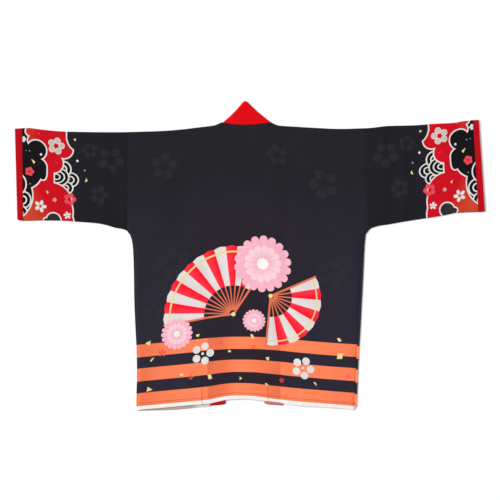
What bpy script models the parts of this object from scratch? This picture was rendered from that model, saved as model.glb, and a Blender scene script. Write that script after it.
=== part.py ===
"""Happi coat laid flat with its back up, the neck towards +Y and the sleeves along X.

Every piece of cloth is a wall: a sheet of points on the middle of the cloth, made thick by
Solidify. Sizes are in millimetres up to the point where a mesh is made. x is counted from the
centre back, y from the level of the neck seam (the hem is at negative y) and z from the table.
"""

import math
from collections import namedtuple

import bpy
import numpy as np

MM = 0.001

# Walls and layers.
CLOTH = 1.1  # panels and sleeves
HEM = 1.8  # the turned hem of a panel
BAND = 1.6  # the doubled neck band and cuffs
SEAM_GAP = 0.3
SIDE_GAP = 0.6
NECK_GAP = 0.9  # the back and the band meet here along curves whose points differ
LAYER_GAP = 0.35
LOWER = CLOTH / 2  # middle of the layer on the table
UPPER = LOWER + CLOTH + LAYER_GAP  # middle of the layer on top of it
TURN = (UPPER - LOWER) / 2  # radius of a folded edge
LEAD = CLOTH / 2 + TURN  # from the outline in to where the cloth runs flat
TURN_STEPS = 4
TUBE_STEPS = 8  # along each layer of a flattened tube

# Where the fronts' edges show on the back: how far they reach in past the folded edge.
SHOULDER_LAP = 1.0
SIDE_LAP = {"left": 0.4, "right": 4.6}
ARMHOLE_STEP = 0.4  # above the underarm the side's lap lies flat, in steps of this
LAP_GROWS = 4  # rows below the underarm over which the side's lap comes up

# Columns of a panel, as shares of the way from the side to the neck band.
PANEL_SHARES = [0, 0.1, 0.25, 0.4, 0.55, 0.7, 0.85, 0.91, 0.96, 1.0]
CENTRE_SHARES = [0.2, 0.4, 0.6, 0.8]  # of the back, between the two runs of the band

# The body's outline, row by row: the armhole seam down to the underarm, then the side seam.
Row = namedtuple("Row", "left_x left_y right_x right_y")
BODY = [
    Row(-334.9, -19.7, 334.0, -8.8),  # shoulder
    Row(-334.9, -75.0, 334.0, -68.0),
    Row(-334.9, -131.0, 334.0, -127.0),
    Row(-334.9, -187.0, 334.0, -186.0),
    Row(-334.9, -242.0, 334.0, -245.0),
    Row(-334.9, -296.5, 334.0, -303.0),  # underarm
    Row(-329.4, -303.0, 332.4, -311.0),
    Row(-323.1, -318.0, 330.3, -328.0),
    Row(-319.4, -340.0, 328.7, -351.0),
    Row(-317.2, -385.0, 327.0, -388.0),
    Row(-316.2, -430.0, 325.1, -430.0),
    Row(-315.6, -480.0, 322.6, -480.0),
    Row(-313.6, -535.0, 319.7, -535.0),
    Row(-310.9, -590.0, 316.7, -590.0),
    Row(-308.4, -645.0, 313.2, -645.0),
    Row(-307.8, -700.0, 310.7, -700.0),
    Row(-309.2, -745.0, 309.1, -745.0),
    Row(-309.7, -779.2, 307.7, -778.8),  # top of the turned hem
    Row(-309.0, -797.0, 306.8, -796.6),  # hem
]
UNDERARM = 5
HEM_TOP = len(BODY) - 2

# Edges that are not straight: (x, y) points, joined smoothly.
SHOULDER = [
    (-334.9, -19.7), (-242.0, -16.8), (-186.0, -12.6), (-130.0, -5.9), (-90.0, -0.7),
    (-80.0, 3.4), (-67.0, 8.0), (67.0, 7.2), (79.0, 1.4), (92.0, -1.8), (122.0, -3.8),
    (178.0, -7.2), (262.0, -10.9), (334.0, -8.8),
]
NECK = [
    (-68.0, 5.6), (-55.0, 4.8), (-43.0, 3.3), (-13.0, 1.2), (13.0, 1.2), (43.0, 3.3),
    (55.0, 4.8), (68.0, 5.6),
]
BACK_HEM = [
    (-309.0, -797.3), (-301.0, -797.0), (-229.0, -790.7), (-181.0, -786.0), (-134.0, -781.8),
    (-104.0, -779.3), (-90.0, -776.2), (-56.0, -769.0), (-18.0, -766.3), (6.0, -766.6),
    (24.0, -768.6), (54.0, -772.2), (92.0, -776.8), (119.0, -781.6), (159.0, -785.4),
    (199.0, -788.4), (274.0, -793.4), (297.0, -796.7), (306.8, -796.6),
]
FRONT_HEM = {
    "left": [
        (-309.0, -799.6), (-281.0, -799.2), (-242.0, -798.4), (-197.0, -796.4),
        (-149.0, -791.8), (-102.0, -788.0),
    ],
    "right": [(102.0, -780.6), (140.0, -782.4), (178.0, -784.6), (234.0, -787.6), (306.8, -790.2)],
}
# How late down a panel its hem's curve is felt, as a power of the way down.
BACK_BEND, FRONT_BEND = 1, 2
SHOULDER_BEND = 3  # and how soon the shoulder's curve is lost

# The neck band: it lies along the neck as a peak, folds at each side of it, and runs down a front.
PEAK = (-5.0, 66.6)
PEAK_ROUND = 4.5  # radius of the peak's tip
PEAK_TURN = math.radians(48)  # each way, from one fold's end over the tip to the other's
PEAK_SAG = 2.2  # the folds are this hollow between the neck's side and the tip
PEAK_STEPS = 6
FAN_STEPS = 4
BAND_SHARES = (0, 0.25, 0.5, 0.75, 1)  # across the band
NECK_SIDE = 64.0  # where the folds start, from the centre back
BAND_LOWER = BAND / 2
BAND_TURN = 0.95
BAND_UPPER = BAND_LOWER + 2 * BAND_TURN
# A front's run of the band, from the neck down: its sewn edge and its free edge.
Run = namedtuple("Run", "y seam free")
BAND_RUNS = {
    "left": [Run(-12.0, -67.0, -5.0), Run(-785.5, -102.0, -60.0)],
    "right": [Run(-12.0, 67.0, 3.5), Run(-785.0, 102.0, 49.0)],
}
RUN_STEPS = 9
END_RISE = 3.4  # at the hem the band's free edge ends this much higher than its sewn edge
# Past the band's sewn edge the back comes down onto the front over this distance.
BAND_EASE = (3.0, 30.0)

# Sleeves: stations from the armhole to the cuff seam, each a line from the top fold to the bottom.
Station = namedtuple("Station", "top_x top_y bottom_x bottom_y")
SLEEVES = {
    "left": [
        Station(-335.2, -19.7, -335.2, -296.6),
        Station(-346.0, -19.9, -346.0, -291.6),
        Station(-371.0, -20.0, -371.0, -287.0),
        Station(-396.0, -19.9, -396.0, -279.5),
        Station(-422.0, -19.8, -421.0, -274.9),
        Station(-472.0, -19.2, -471.0, -270.8),
        Station(-522.0, -17.6, -521.0, -267.6),
        Station(-575.0, -12.6, -574.0, -267.0),
        Station(-612.0, -8.1, -610.0, -268.0),
        Station(-628.6, -8.9, -626.6, -267.6),
    ],
    "right": [
        Station(334.3, -8.8, 334.9, -303.2),
        Station(344.0, -8.3, 344.0, -291.0),
        Station(368.0, -5.5, 369.0, -282.2),
        Station(394.0, -2.6, 397.0, -278.0),
        Station(420.0, -2.0, 425.0, -272.8),
        Station(472.0, -0.6, 480.0, -264.0),
        Station(522.0, 3.4, 533.0, -256.0),
        Station(575.0, 6.0, 589.0, -246.2),
        Station(606.0, 10.9, 621.0, -244.3),
        Station(627.4, 13.2, 643.4, -243.7),
    ],
}
# Cuffs: the same, from the cuff seam to the open mouth.
CUFFS = {
    "left": [
        Station(-628.9, -8.9, -626.9, -267.6),
        Station(-640.0, -9.6, -636.0, -267.2),
        Station(-649.3, -10.6, -642.4, -264.0),
    ],
    "right": [
        Station(627.7, 13.2, 643.7, -243.7),
        Station(638.0, 14.0, 654.0, -243.6),
        Station(648.2, 14.6, 665.6, -241.0),
    ],
}

# The largest soft folds of the upper layer, each along a line from one point to another.
Fold = namedtuple("Fold", "x0 y0 x1 y1 half_width height")
FOLDS = [
    Fold(-137, -250, -112, -800, 22, 1.6),  # long packing fold, left of the centre
    Fold(118, -200, 95, -790, 20, 1.4),  # long packing fold, right of the centre
    Fold(160, -640, 168, -800, 16, 0.9),
    Fold(-322, -298, -120, -300, 18, 1.3),  # crosswise packing fold
    Fold(148, -70, 274, -224, 24, 1.8),  # drag line from the right shoulder
    Fold(-150, -80, -262, -190, 26, 1.2),
    Fold(-398, -40, -400, -262, 18, 1.5),  # left sleeve
    Fold(-404, -262, -470, -170, 20, 1.1),
    Fold(378, -30, 382, -262, 16, 1.2),  # right sleeve
    Fold(437, -20, 440, -250, 18, 1.5),
    Fold(-560, -60, -530, -230, 28, 1.3),
    Fold(545, -40, 575, -200, 26, 1.2),
    Fold(300, -330, 270, -520, 24, 1.4),  # slack along the side seams
    Fold(-296, -350, -280, -560, 24, 1.1),
]
FOLD_FADE = 14.0  # a fold dies away this near an outline

BLACK = (0.021, 0.021, 0.026)
RED = (0.76, 0.01, 0.018)
DARK_RED = (0.51, 0.006, 0.014)


def curve_at(points, x):
    """Height of a smooth curve through (x, y) points, by cubic pieces that never overshoot."""
    xs, ys = np.array(points, float).T
    steps = np.diff(ys) / np.diff(xs)
    slopes = np.concatenate([[steps[0]], np.zeros(len(xs) - 2), [steps[-1]]])
    rising = steps[:-1] * steps[1:] > 0
    before, after = steps[:-1][rising], steps[1:][rising]
    slopes[1:-1][rising] = 2 * before * after / (before + after)
    x = min(max(x, xs[0]), xs[-1])
    i = min(int(np.searchsorted(xs, x, side="right")) - 1, len(xs) - 2)
    width = xs[i + 1] - xs[i]
    t = (x - xs[i]) / width
    return (
        ys[i] * (1 + 2 * t) * (1 - t) ** 2
        + ys[i + 1] * t * t * (3 - 2 * t)
        + width * t * (1 - t) * (slopes[i] * (1 - t) - slopes[i + 1] * t)
    )


def mix(a, b, share):
    return a + (b - a) * share


def smooth(low, high, value):
    """0 below low, 1 above high, and a soft step between."""
    t = min(max((value - low) / (high - low), 0.0), 1.0)
    return t * t * (3 - 2 * t)


def fold_height(x, y, to_edge):
    """How far the upper layer stands proud at a point that lies to_edge in from the outline."""
    total = 0.0
    for fold in FOLDS:
        along = np.array([fold.x1 - fold.x0, fold.y1 - fold.y0])
        off = np.array([x - fold.x0, y - fold.y0])
        t = min(max(off @ along / (along @ along), 0.0), 1.0)
        away = np.linalg.norm(off - t * along) / fold.half_width
        total += fold.height * math.exp(-away * away)
    return total * smooth(0.0, FOLD_FADE, to_edge)


def folded_edge(lap):
    """Section of cloth turned over at an edge: (in from the outline, height), from the end of
    the lap on top, round the edge, to where the lower layer starts."""
    section = [(LEAD + lap, UPPER)]
    for k in range(TURN_STEPS + 1):
        a = math.pi * k / TURN_STEPS
        section.append((LEAD - TURN * math.sin(a), LOWER + TURN + TURN * math.cos(a)))
    return section


def cloth_wall(name, sheet, thickness, colour, roughness, round_tube=False, hem_rows=0):
    """A named piece: rows of points in millimetres, joined into a sheet and thickened both ways.
    The last hem_rows rows get the hem's wall."""
    columns = len(sheet[0])
    points = [tuple(c * MM for c in point) for row in sheet for point in row]
    reach = columns if round_tube else columns - 1
    faces = [
        (
            i * columns + j,
            i * columns + (j + 1) % columns,
            (i + 1) * columns + (j + 1) % columns,
            (i + 1) * columns + j,
        )
        for i in range(len(sheet) - 1)
        for j in range(reach)
    ]
    mesh = bpy.data.meshes.new(name)
    mesh.from_pydata(points, [], faces)
    mesh.shade_smooth()
    piece = bpy.data.objects.new(name, mesh)
    wall = piece.modifiers.new("cloth", "SOLIDIFY")
    wall.offset = 0.0
    wall.thickness = thickness * MM
    if hem_rows:
        wall.thickness = HEM * MM
        group = piece.vertex_groups.new(name="wall")
        group.add(range(len(points)), thickness / HEM, "REPLACE")
        group.add(range(len(points) - hem_rows * columns, len(points)), 1.0, "REPLACE")
        wall.vertex_group = "wall"
    material = bpy.data.materials.new(name)
    material.use_nodes = True
    shader = material.node_tree.nodes["Principled BSDF"]
    shader.inputs["Base Color"].default_value = (*colour, 1.0)
    shader.inputs["Roughness"].default_value = roughness
    shader.inputs["Metallic"].default_value = 0.0
    mesh.materials.append(material)
    return piece


def body_y(row, x, hem, bend):
    """Height of a row of the body at x, bent to follow the shoulder and the hem."""
    first, last = BODY[0], BODY[-1]
    across = (x - row.left_x) / (row.right_x - row.left_x)
    down = (row.left_y - first.left_y) / (last.left_y - first.left_y)
    flat = mix(row.left_y, row.right_y, across)
    top = curve_at(SHOULDER, x) - mix(first.left_y, first.right_y, across)
    bottom = curve_at(hem, x) - mix(last.left_y, last.right_y, across)
    return flat + top * (1 - down) ** SHOULDER_BEND + bottom * down**bend


def run_at(side, y):
    """The band's sewn and free edge at y."""
    top, end = BAND_RUNS[side]
    share = (y - top.y) / (end.y - top.y)
    return mix(top.seam, end.seam, share), mix(top.free, end.free, share)


def below_back(x, y, is_hem):
    """Top of what the back panel lies on: the fronts, their hems and the band's two runs."""
    left, right = run_at("left", y)[0], run_at("right", y)[0]
    over_band = 1 - smooth(*BAND_EASE, max(left - x, x - right))
    return max(HEM if is_hem else CLOTH, mix(CLOTH, BAND, over_band))


def side_lap(side, i):
    """The lap of a front's side seam at a row of the body. It grows from nothing at the underarm."""
    return SIDE_LAP[side] * smooth(UNDERARM, UNDERARM + LAP_GROWS, i)


def seam_at(side, row, hem, bend):
    """Where a row of the body meets the band's sewn edge."""
    guess = run_at(side, row.left_y)[0]
    return run_at(side, body_y(row, guess, hem, bend))[0]


def back():
    sheet = []
    for i, row in enumerate(BODY):
        insets = [SEAM_GAP / 2] * 2
        if i >= UNDERARM:
            gap = SIDE_GAP + (HEM - CLOTH) * (i >= HEM_TOP - 1)
            insets = [LEAD + side_lap(side, i) + gap for side in ("left", "right")]
        left, right = row.left_x + insets[0], row.right_x - insets[1]
        seams = [seam_at(side, row, BACK_HEM, BACK_BEND) for side in ("left", "right")]
        across = [mix(left, seams[0], share) for share in PANEL_SHARES]
        across += [mix(*seams, share) for share in CENTRE_SHARES]
        across += [mix(right, seams[1], share) for share in reversed(PANEL_SHARES)]
        wall = HEM if i >= HEM_TOP else CLOTH
        points = []
        for x in across:
            y = body_y(row, x, BACK_HEM, BACK_BEND)
            to_outline = min(x - left, right - x) if i > UNDERARM else curve_at(SHOULDER, x) - y
            if i == 0:
                y -= LEAD + SHOULDER_LAP + SEAM_GAP
                if abs(x) < NECK[-1][0]:
                    y = min(y, curve_at(NECK, x) - NECK_GAP)
            z = below_back(x, y, i >= HEM_TOP) + LAYER_GAP + wall / 2
            points.append((x, y, z + fold_height(x, y, to_outline)))
        sheet.append(points)
    return cloth_wall("back", sheet, CLOTH, BLACK, 0.75, hem_rows=2)


def front(side):
    """A front panel. Its shoulder and its side seam turn up round the edge onto the back."""
    sign = -1 if side == "left" else 1
    hem = FRONT_HEM[side]
    rows = [(0, inset, z) for inset, z in folded_edge(SHOULDER_LAP)]
    rows += [(i, 0.0, LOWER) for i in range(1, len(BODY))]
    sheet = []
    for i, drop, row_z in rows:
        row = BODY[i]
        outline = row.left_x if side == "left" else row.right_x
        rise = row_z - LOWER + (HEM - CLOTH) / 2 * (i >= HEM_TOP)
        edge_section = folded_edge(side_lap(side, i))
        if i <= UNDERARM:
            edge_section = [
                (SEAM_GAP / 2 + ARMHOLE_STEP * k, LOWER) for k in range(len(edge_section))
            ]
        section = [(outline - sign * inset, z) for inset, z in edge_section]
        flat_start = section[-1][0]
        seam = seam_at(side, row, hem, FRONT_BEND) + sign * SEAM_GAP
        section += [(mix(flat_start, seam, share), LOWER) for share in PANEL_SHARES[1:]]
        sheet.append([(x, body_y(row, x, hem, FRONT_BEND) - drop, z + rise) for x, z in section])
    return cloth_wall(f"front_{side}", sheet, CLOTH, BLACK, 0.75, hem_rows=2)


def tube_section(station, wall, low, high):
    """Points round a flattened tube: along the lower layer, round the bottom fold, back along
    the upper layer and round the top fold."""
    turn = (high - low) / 2
    lead = wall / 2 + turn
    length = math.hypot(station.top_x - station.bottom_x, station.top_y - station.bottom_y)
    flat = length - 2 * lead
    path = [(lead + flat * k / TUBE_STEPS, low) for k in range(TUBE_STEPS + 1)]
    for k in range(1, TURN_STEPS):
        a = math.pi * k / TURN_STEPS
        path.append((lead + flat + turn * math.sin(a), low + turn - turn * math.cos(a)))
    path += [(lead + flat * (1 - k / TUBE_STEPS), high) for k in range(TUBE_STEPS + 1)]
    for k in range(1, TURN_STEPS):
        a = math.pi * k / TURN_STEPS
        path.append((lead - turn * math.sin(a), high - turn + turn * math.cos(a)))
    points = []
    for down, z in path:
        x = mix(station.top_x, station.bottom_x, down / length)
        y = mix(station.top_y, station.bottom_y, down / length)
        if z == high:
            z += fold_height(x, y, min(down, length - down))
        points.append((x, y, z))
    return points


def sleeve(side):
    sections = [tube_section(station, CLOTH, LOWER, UPPER) for station in SLEEVES[side]]
    return cloth_wall(f"sleeve_{side}", sections, CLOTH, BLACK, 0.75, round_tube=True)


def cuff(side):
    """A red tube one wall thicker than the sleeve that it finishes."""
    low = BAND / 2
    high = low + BAND + LAYER_GAP
    sections = [tube_section(station, BAND, low, high) for station in CUFFS[side]]
    return cloth_wall(f"cuff_{side}", sections, BAND, DARK_RED, 0.7, round_tube=True)


def peak_edge(turn):
    """A point of the peak's rounded tip, at an angle from straight up."""
    x, y = PEAK
    return x + PEAK_ROUND * math.sin(turn), y - PEAK_ROUND * (1 - math.cos(turn))


def band_line(near, far, pull):
    """Points across the band, sewn edge to free edge, drawn inwards by pull at its middle."""
    points = []
    for share in BAND_SHARES:
        sag = PEAK_SAG * math.sin(math.pi * share)
        x, y, z = (mix(a, b, share) for a, b in zip(near, far))
        points.append((x - sag * pull[0], y - sag * pull[1], z))
    return points


def fold_outward(side):
    """The neck's side point, the fold's upper end, and the direction out of the fold."""
    sign = -1 if side == "left" else 1
    corner = (sign * NECK_SIDE, curve_at(NECK, sign * NECK_SIDE))
    tip = peak_edge(sign * PEAK_TURN)
    along = np.array([tip[0] - corner[0], tip[1] - corner[1]])
    outward = np.array([-along[1], along[0]]) / np.linalg.norm(along)
    return corner, tip, outward * math.copysign(1.0, outward[0] * sign)


def band_half(side):
    """Lines across the band from the hem up to the peak's own edge."""
    top, end = BAND_RUNS[side]
    corner, tip, outward = fold_outward(side)
    lines = []
    for k in range(RUN_STEPS + 1):
        share = k / RUN_STEPS
        y = mix(end.y, top.y, share)
        seam, free = run_at(side, y)
        rise = END_RISE * (1 - share)
        lines.append(band_line((seam, y, BAND_LOWER), (free, y + rise, BAND_LOWER), (0, 0)))
    # Under the peak the lines swing round the neck's side point until they lie along the fold.
    for k in range(1, FAN_STEPS + 1):
        share = k / FAN_STEPS
        near = (mix(top.seam, corner[0], share), mix(top.y, corner[1], share), BAND_LOWER)
        far = (mix(top.free, tip[0], share), mix(top.y, tip[1], share), BAND_LOWER)
        lines.append(band_line(near, far, outward * share))
    # Round the fold, square to it.
    for k in range(1, TURN_STEPS + 1):
        a = math.pi * k / TURN_STEPS
        out = outward * BAND_TURN * math.sin(a)
        z = BAND_LOWER + BAND_TURN - BAND_TURN * math.cos(a)
        near = (corner[0] + out[0], corner[1] + out[1], z)
        lines.append(band_line(near, (tip[0] + out[0], tip[1] + out[1], z), outward))
    return lines


def neck_band():
    left, right = band_half("left"), band_half("right")
    pulls = [fold_outward(side)[2] for side in ("left", "right")]
    middle = []
    for k in range(1, PEAK_STEPS):
        share = k / PEAK_STEPS
        x = mix(-NECK_SIDE, NECK_SIDE, share)
        tip = peak_edge(mix(-PEAK_TURN, PEAK_TURN, share))
        near, far = (x, curve_at(NECK, x), BAND_UPPER), (*tip, BAND_UPPER)
        middle.append(band_line(near, far, mix(*pulls, share)))
    return cloth_wall("neck_band", left + middle + right[::-1], BAND, RED, 0.7)


def stand_on_origin(pieces):
    """Puts the origin under the middle of the coat: every piece hangs on one empty that is moved."""
    collection = bpy.data.collections.new("happi_coat")
    bpy.context.scene.collection.children.link(collection)
    base = bpy.data.objects.new("happi_coat_base", None)
    collection.objects.link(base)
    for piece in pieces:
        collection.objects.link(piece)
        piece.parent = base
    graph = bpy.context.evaluated_depsgraph_get()
    corners = np.array([corner for p in pieces for corner in p.evaluated_get(graph).bound_box])
    low, high = corners.min(axis=0), corners.max(axis=0)
    base.location = (-(low[0] + high[0]) / 2, -(low[1] + high[1]) / 2, -low[2])


def main():
    for thing in list(bpy.data.objects):
        bpy.data.objects.remove(thing)
    pieces = [back(), neck_band()]
    for side in ("left", "right"):
        pieces += [front(side), sleeve(side), cuff(side)]
    stand_on_origin(pieces)


main()
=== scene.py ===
import math

import bpy
import numpy as np
from bpy.props import FloatProperty, FloatVectorProperty, PointerProperty
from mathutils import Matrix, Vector


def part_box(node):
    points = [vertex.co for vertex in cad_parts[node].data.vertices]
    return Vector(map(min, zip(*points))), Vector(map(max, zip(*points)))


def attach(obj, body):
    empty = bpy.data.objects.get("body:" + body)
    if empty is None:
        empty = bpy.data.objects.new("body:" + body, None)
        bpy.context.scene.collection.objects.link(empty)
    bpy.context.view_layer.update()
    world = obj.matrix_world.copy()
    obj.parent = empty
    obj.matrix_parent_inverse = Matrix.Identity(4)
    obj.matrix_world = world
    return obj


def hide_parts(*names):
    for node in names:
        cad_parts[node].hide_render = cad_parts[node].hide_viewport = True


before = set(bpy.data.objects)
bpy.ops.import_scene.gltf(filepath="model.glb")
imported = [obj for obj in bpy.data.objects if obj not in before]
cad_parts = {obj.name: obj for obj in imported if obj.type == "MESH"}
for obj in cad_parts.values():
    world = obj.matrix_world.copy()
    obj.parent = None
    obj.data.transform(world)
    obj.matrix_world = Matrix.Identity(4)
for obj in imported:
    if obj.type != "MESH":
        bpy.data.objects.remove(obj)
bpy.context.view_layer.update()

bl_info = {
    "name": "Happi coat",
    "version": (1, 0, 0),
    "blender": (4, 5, 0),
    "location": "3D View > Sidebar > Coat",
    "description": "Builds a printed happi coat laid flat with its back up",
    "category": "Add Mesh",
}

MM = 0.001
BODY = "root"
SIDES = ("left", "right")
SIGN = {"left": -1, "right": 1}
UP = np.array([0.0, 0.0, 1.0])

# ------------------------------------------------------------------------------------------------
# The coat's sizes, in millimetres: x from the centre back, y from the level of the neck seam,
# z from the table. They are those of the solids that the pieces stand for.
# ------------------------------------------------------------------------------------------------

WALL = 0.6  # a single layer of printed cloth
DOUBLED = 1.3  # the neck band and the cuffs, which are folded double
UNDERSIDE = 0.2  # the threads beneath hold the cloth this far off the table
SEAM_GAP = 0.3
SIDE_GAP = 0.4
NECK_GAP = 0.6
LOWER = UNDERSIDE + WALL / 2  # middle of the layer on the table
UPPER = 2.0  # middle of the layer on top of it
TURN = (UPPER - LOWER) / 2  # radius of a folded edge
LEAD = WALL / 2 + TURN  # from the outline in to where the cloth runs flat
SHOULDER_LAP = 1.0  # how far the fronts reach over the edge onto the back
SIDE_LAP = {"left": 0.4, "right": 4.6}
LAP_GROWS = 4  # rows below the underarm over which a side's lap comes up
ARMHOLE_STEP = 0.27  # above the underarm the lap lies flat, in steps of this
HEM_DEPTH = 19.8  # how far a hem is turned up against the panel's inner face
HEM_TURN = 0.42  # radius of its fold
HEM_LEVEL = 2.0  # this far up from the fold the turned part lies level
HEM_STEPS = 5  # and has this many rows of points from there
HEM_STITCH = 2.0  # from its upper end down to the stitches
# What lies beneath the back panel, and from there up to the middle of its cloth.
OVER_FRONT, OVER_BAND, OVER_HEM = 1.1, 1.6, 2.0
BACK_CLEARANCE = 0.9
BAND_EASE = (3.0, 30.0)  # past the band's sewn edge the back comes down over this distance
SHOULDER_BEND = 3  # how soon the shoulder's curve is lost down a panel, as a power

# The body's outline, row by row: left x and y, right x and y.
ROWS = [
    (-334.9, -19.7, 334, -8.8),  # shoulder
    (-334.9, -75, 334, -68),
    (-334.9, -131, 334, -127),
    (-334.9, -187, 334, -186),
    (-334.9, -242, 334, -245),
    (-334.9, -296.5, 334, -303),  # underarm
    (-329.4, -303, 332.4, -311),
    (-323.1, -318, 330.3, -328),
    (-319.4, -340, 328.7, -351),
    (-317.2, -385, 327, -388),
    (-316.2, -430, 325.1, -430),
    (-315.6, -480, 322.6, -480),
    (-313.6, -535, 319.7, -535),
    (-310.9, -590, 316.7, -590),
    (-308.4, -645, 313.2, -645),
    (-307.8, -700, 310.7, -700),
    (-309.2, -745, 309.1, -745),
    (-309.7, -777.2, 307.7, -776.8),
    (-309, -797, 306.8, -796.6),  # hem
]
UNDERARM = 5

# Edges that are not straight: (x, y) points, joined smoothly.
SHOULDER = [
    (-334.9, -19.7), (-242, -16.8), (-186, -12.6), (-130, -5.9), (-90, -0.7), (-80, 3.4), (-67, 8),
    (67, 7.2), (79, 1.4), (92, -1.8), (122, -3.8), (178, -7.2), (262, -10.9), (334, -8.8),
]
NECK = [
    (-68, 7.6), (-64, 7.2), (-51, 4.2), (-32, 1.6), (-11, 0.9), (15, 1), (38, 3.2), (55.5, 5.8),
    (64, 7.2), (68, 7.6),
]
BACK_HEM = [
    (-309, -798.6), (-301, -797), (-229, -790.7), (-181, -786), (-134, -781.8), (-104, -779.3),
    (-90, -776.2), (-56, -769), (-18, -766.3), (6, -766.6), (24, -768.6), (54, -772.2),
    (92, -776.8), (119, -781.6), (159, -785.4), (199, -788.4), (274, -793.4), (297, -796.7),
    (306.8, -796.6),
]
FRONT_HEM = {
    "left": [
        (-309, -799.6), (-281, -799.2), (-242, -798.4), (-197, -796.4), (-149, -791.8),
        (-102, -788),
    ],
    "right": [(102, -780.6), (140, -782.4), (178, -784.6), (234, -787.6), (306.8, -790.2)],
}

# The back's rows bow up in the middle: height above the table's row, and how far the cloth there
# is drawn up, as (x, rise). Between two heights, and down to the hem, the bow changes evenly.
BACK_BOWS = [
    (-648, [
        (-309, -2.5), (-171, 10.5), (-98, 18.5), (-31, 21.5), (10, 21.5), (76, 18.5), (137, 12.5),
        (232, 4), (307, -1),
    ]),
    (-785, [
        (-309, -2.5), (-216, 6.5), (-112, 16.5), (-64, 25.5), (-31, 28.5), (10, 27.5), (76, 19),
        (120, 14), (221, 5.5), (307, -2),
    ]),
]

PEAK = (-5.0, 66.6)
PEAK_ROUND = 4.5  # radius of the peak's tip
PEAK_TURN = math.radians(48)  # each way, from one fold's end over the tip to the other's
PEAK_SAG = 2.2  # the folds are this hollow between the neck's side and the tip
NECK_SIDE = 65.0  # x of the neck's two side points, where the folds start
BAND_WIDTH = 66.0
BAND_LOWER = UNDERSIDE + DOUBLED / 2  # middle of the band on the table
BAND_UPPER = 2.75  # and of the peak's upper layer
BAND_TURN = (BAND_UPPER - BAND_LOWER) / 2
# The band's run down each front, at the neck and at the hem: y, sewn edge, free edge.
BAND_RUNS = {
    "left": ((-12, -67, -5), (-785.5, -102, -60)),
    "right": ((-12, 67, 3.5), (-785, 102, 49)),
}
END_RISE = 3.4  # at the hem the free edge ends this much higher than the sewn edge
END_ROUND, END_ROUND_POWER = 2.4, 8  # its corner is rounded by this, close to it
NECK_LINES = 12  # lines across the band that swing round each side of the neck
# The turned edges inside the doubled band press through: ridges this far from the peak's folds
# and from the neck's seam, and their half width and height.
BAND_RIDGES = ((5, 2.4, 0.35), (3.4, 2, 0.4))
BAND_DOME = 0.7  # how far the peak's upper layer is domed

# Stations along a sleeve from the armhole to the cuff: top x and y, bottom x and y.
SLEEVES = {
    "left": [
        (-335.2, -19.7, -335.2, -296.6),
        (-346, -19.9, -346, -291.6),
        (-371, -20, -371, -287),
        (-396, -19.9, -396, -279.5),
        (-422, -19.8, -421, -274.9),
        (-472, -19.2, -471, -270.8),
        (-522, -17.6, -521, -267.6),
        (-575, -12.6, -574, -267),
        (-612, -8.1, -610, -268),
        (-628.6, -8.9, -626.6, -267.6),
    ],
    "right": [
        (334.3, -8.8, 334.9, -303.2),
        (344, -8.3, 344, -291),
        (368, -5.5, 369, -282.2),
        (394, -2.6, 397, -278),
        (420, -2, 425, -272.8),
        (472, -0.6, 480, -264),
        (522, 3.4, 533, -256),
        (575, 6, 589, -246.2),
        (606, 10.9, 621, -244.3),
        (632, 13.6, 647.8, -243.5),
    ],
}
CUFFS = {
    "left": [
        (-628.9, -8.9, -626.9, -267.6),
        (-640, -9.6, -636, -267.2),
        (-649.3, -10.6, -642.4, -264),
    ],
    "right": [
        (632.3, 13.6, 648.1, -243.5),
        (640, 14.1, 656.5, -243),
        (648.2, 14.6, 665.6, -241),
    ],
}
CUFF_LOWER = UNDERSIDE + DOUBLED / 2  # middle of the cuff's lower layer
CUFF_UPPER = 2.75  # and of its upper one
CUFF_STITCH = 14.0  # from the cuff's mouth to its topstitching

# Soft folds of the upper layer: x and y of both ends, half width, height.
FOLDS = [
    (112, -180, 95, -800, 110, 2.3),  # the cloth rises to the valley right of the centre
    (160, -640, 168, -800, 16, 0.8),
    (-322, -298, -120, -300, 18, 1.1),  # crosswise packing fold
    (148, -70, 274, -224, 24, 1.7),  # drag line from the right shoulder
    (-150, -80, -262, -190, 26, 1.2),
    (-398, -40, -400, -262, 18, 1.2),  # left sleeve
    (-404, -262, -470, -170, 20, 1.1),
    (378, -30, 382, -262, 16, 1),  # right sleeve
    (437, -20, 440, -250, 18, 1.1),
    (-560, -60, -530, -230, 28, 1.2),
    (545, -40, 575, -200, 26, 1.2),
    (300, -330, 270, -520, 24, 1.3),  # slack along the side seams
    (-296, -350, -280, -560, 24, 1.1),
    (-20, -120, -34, -420, 40, 0.7),
    (30, -560, 22, -770, 34, 0.6),
]
FOLD_WAVER = (0.14, 23)  # share of its height by which a fold wavers, and how slowly
FOLD_FADE = 14.0  # towards a folded edge the relief dies away over this distance

# Folds pressed sharp when the coat was packed: x and y of both ends, how far each side slopes
# (for a fold that runs down, its left side first) and height.
PRESSED = [
    (-139, -225, -133, -470, 40, 13, 1.3),  # long folds, left and right of the centre
    (-133, -470, -113.6, -602, 48, 15, 1.8),
    (-113.6, -602, -107, -800, 60, 17, 2.3),
    (119, -180, 104, -420, 22, 20, -1.2),
    (104, -420, 96, -560, 26, 24, -1.7),
    (96, -560, 94, -800, 30, 28, -2.2),
    (-322, -299, -205, -298, 9, 9, 0.8),
    (-205, -298, -118, -301, 8, 8, 0.6),
    (-398, -20, -399, -268, 9, 9, 0.7),
    (378, -12, 380, -270, 9, 9, 0.7),
    (437, -6, 439, -262, 8, 8, 0.6),
]
# Narrow folds that lie over those, written the same way.
NARROW_FOLDS = [
    (-128, -700, -127.5, -800, 20, 1.8, 1.5),
    (154, -660, 156, -800, 20, 1.8, 0.9),
    (55, -700, 57, -790, 20, 1.8, 0.9),
]
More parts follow.
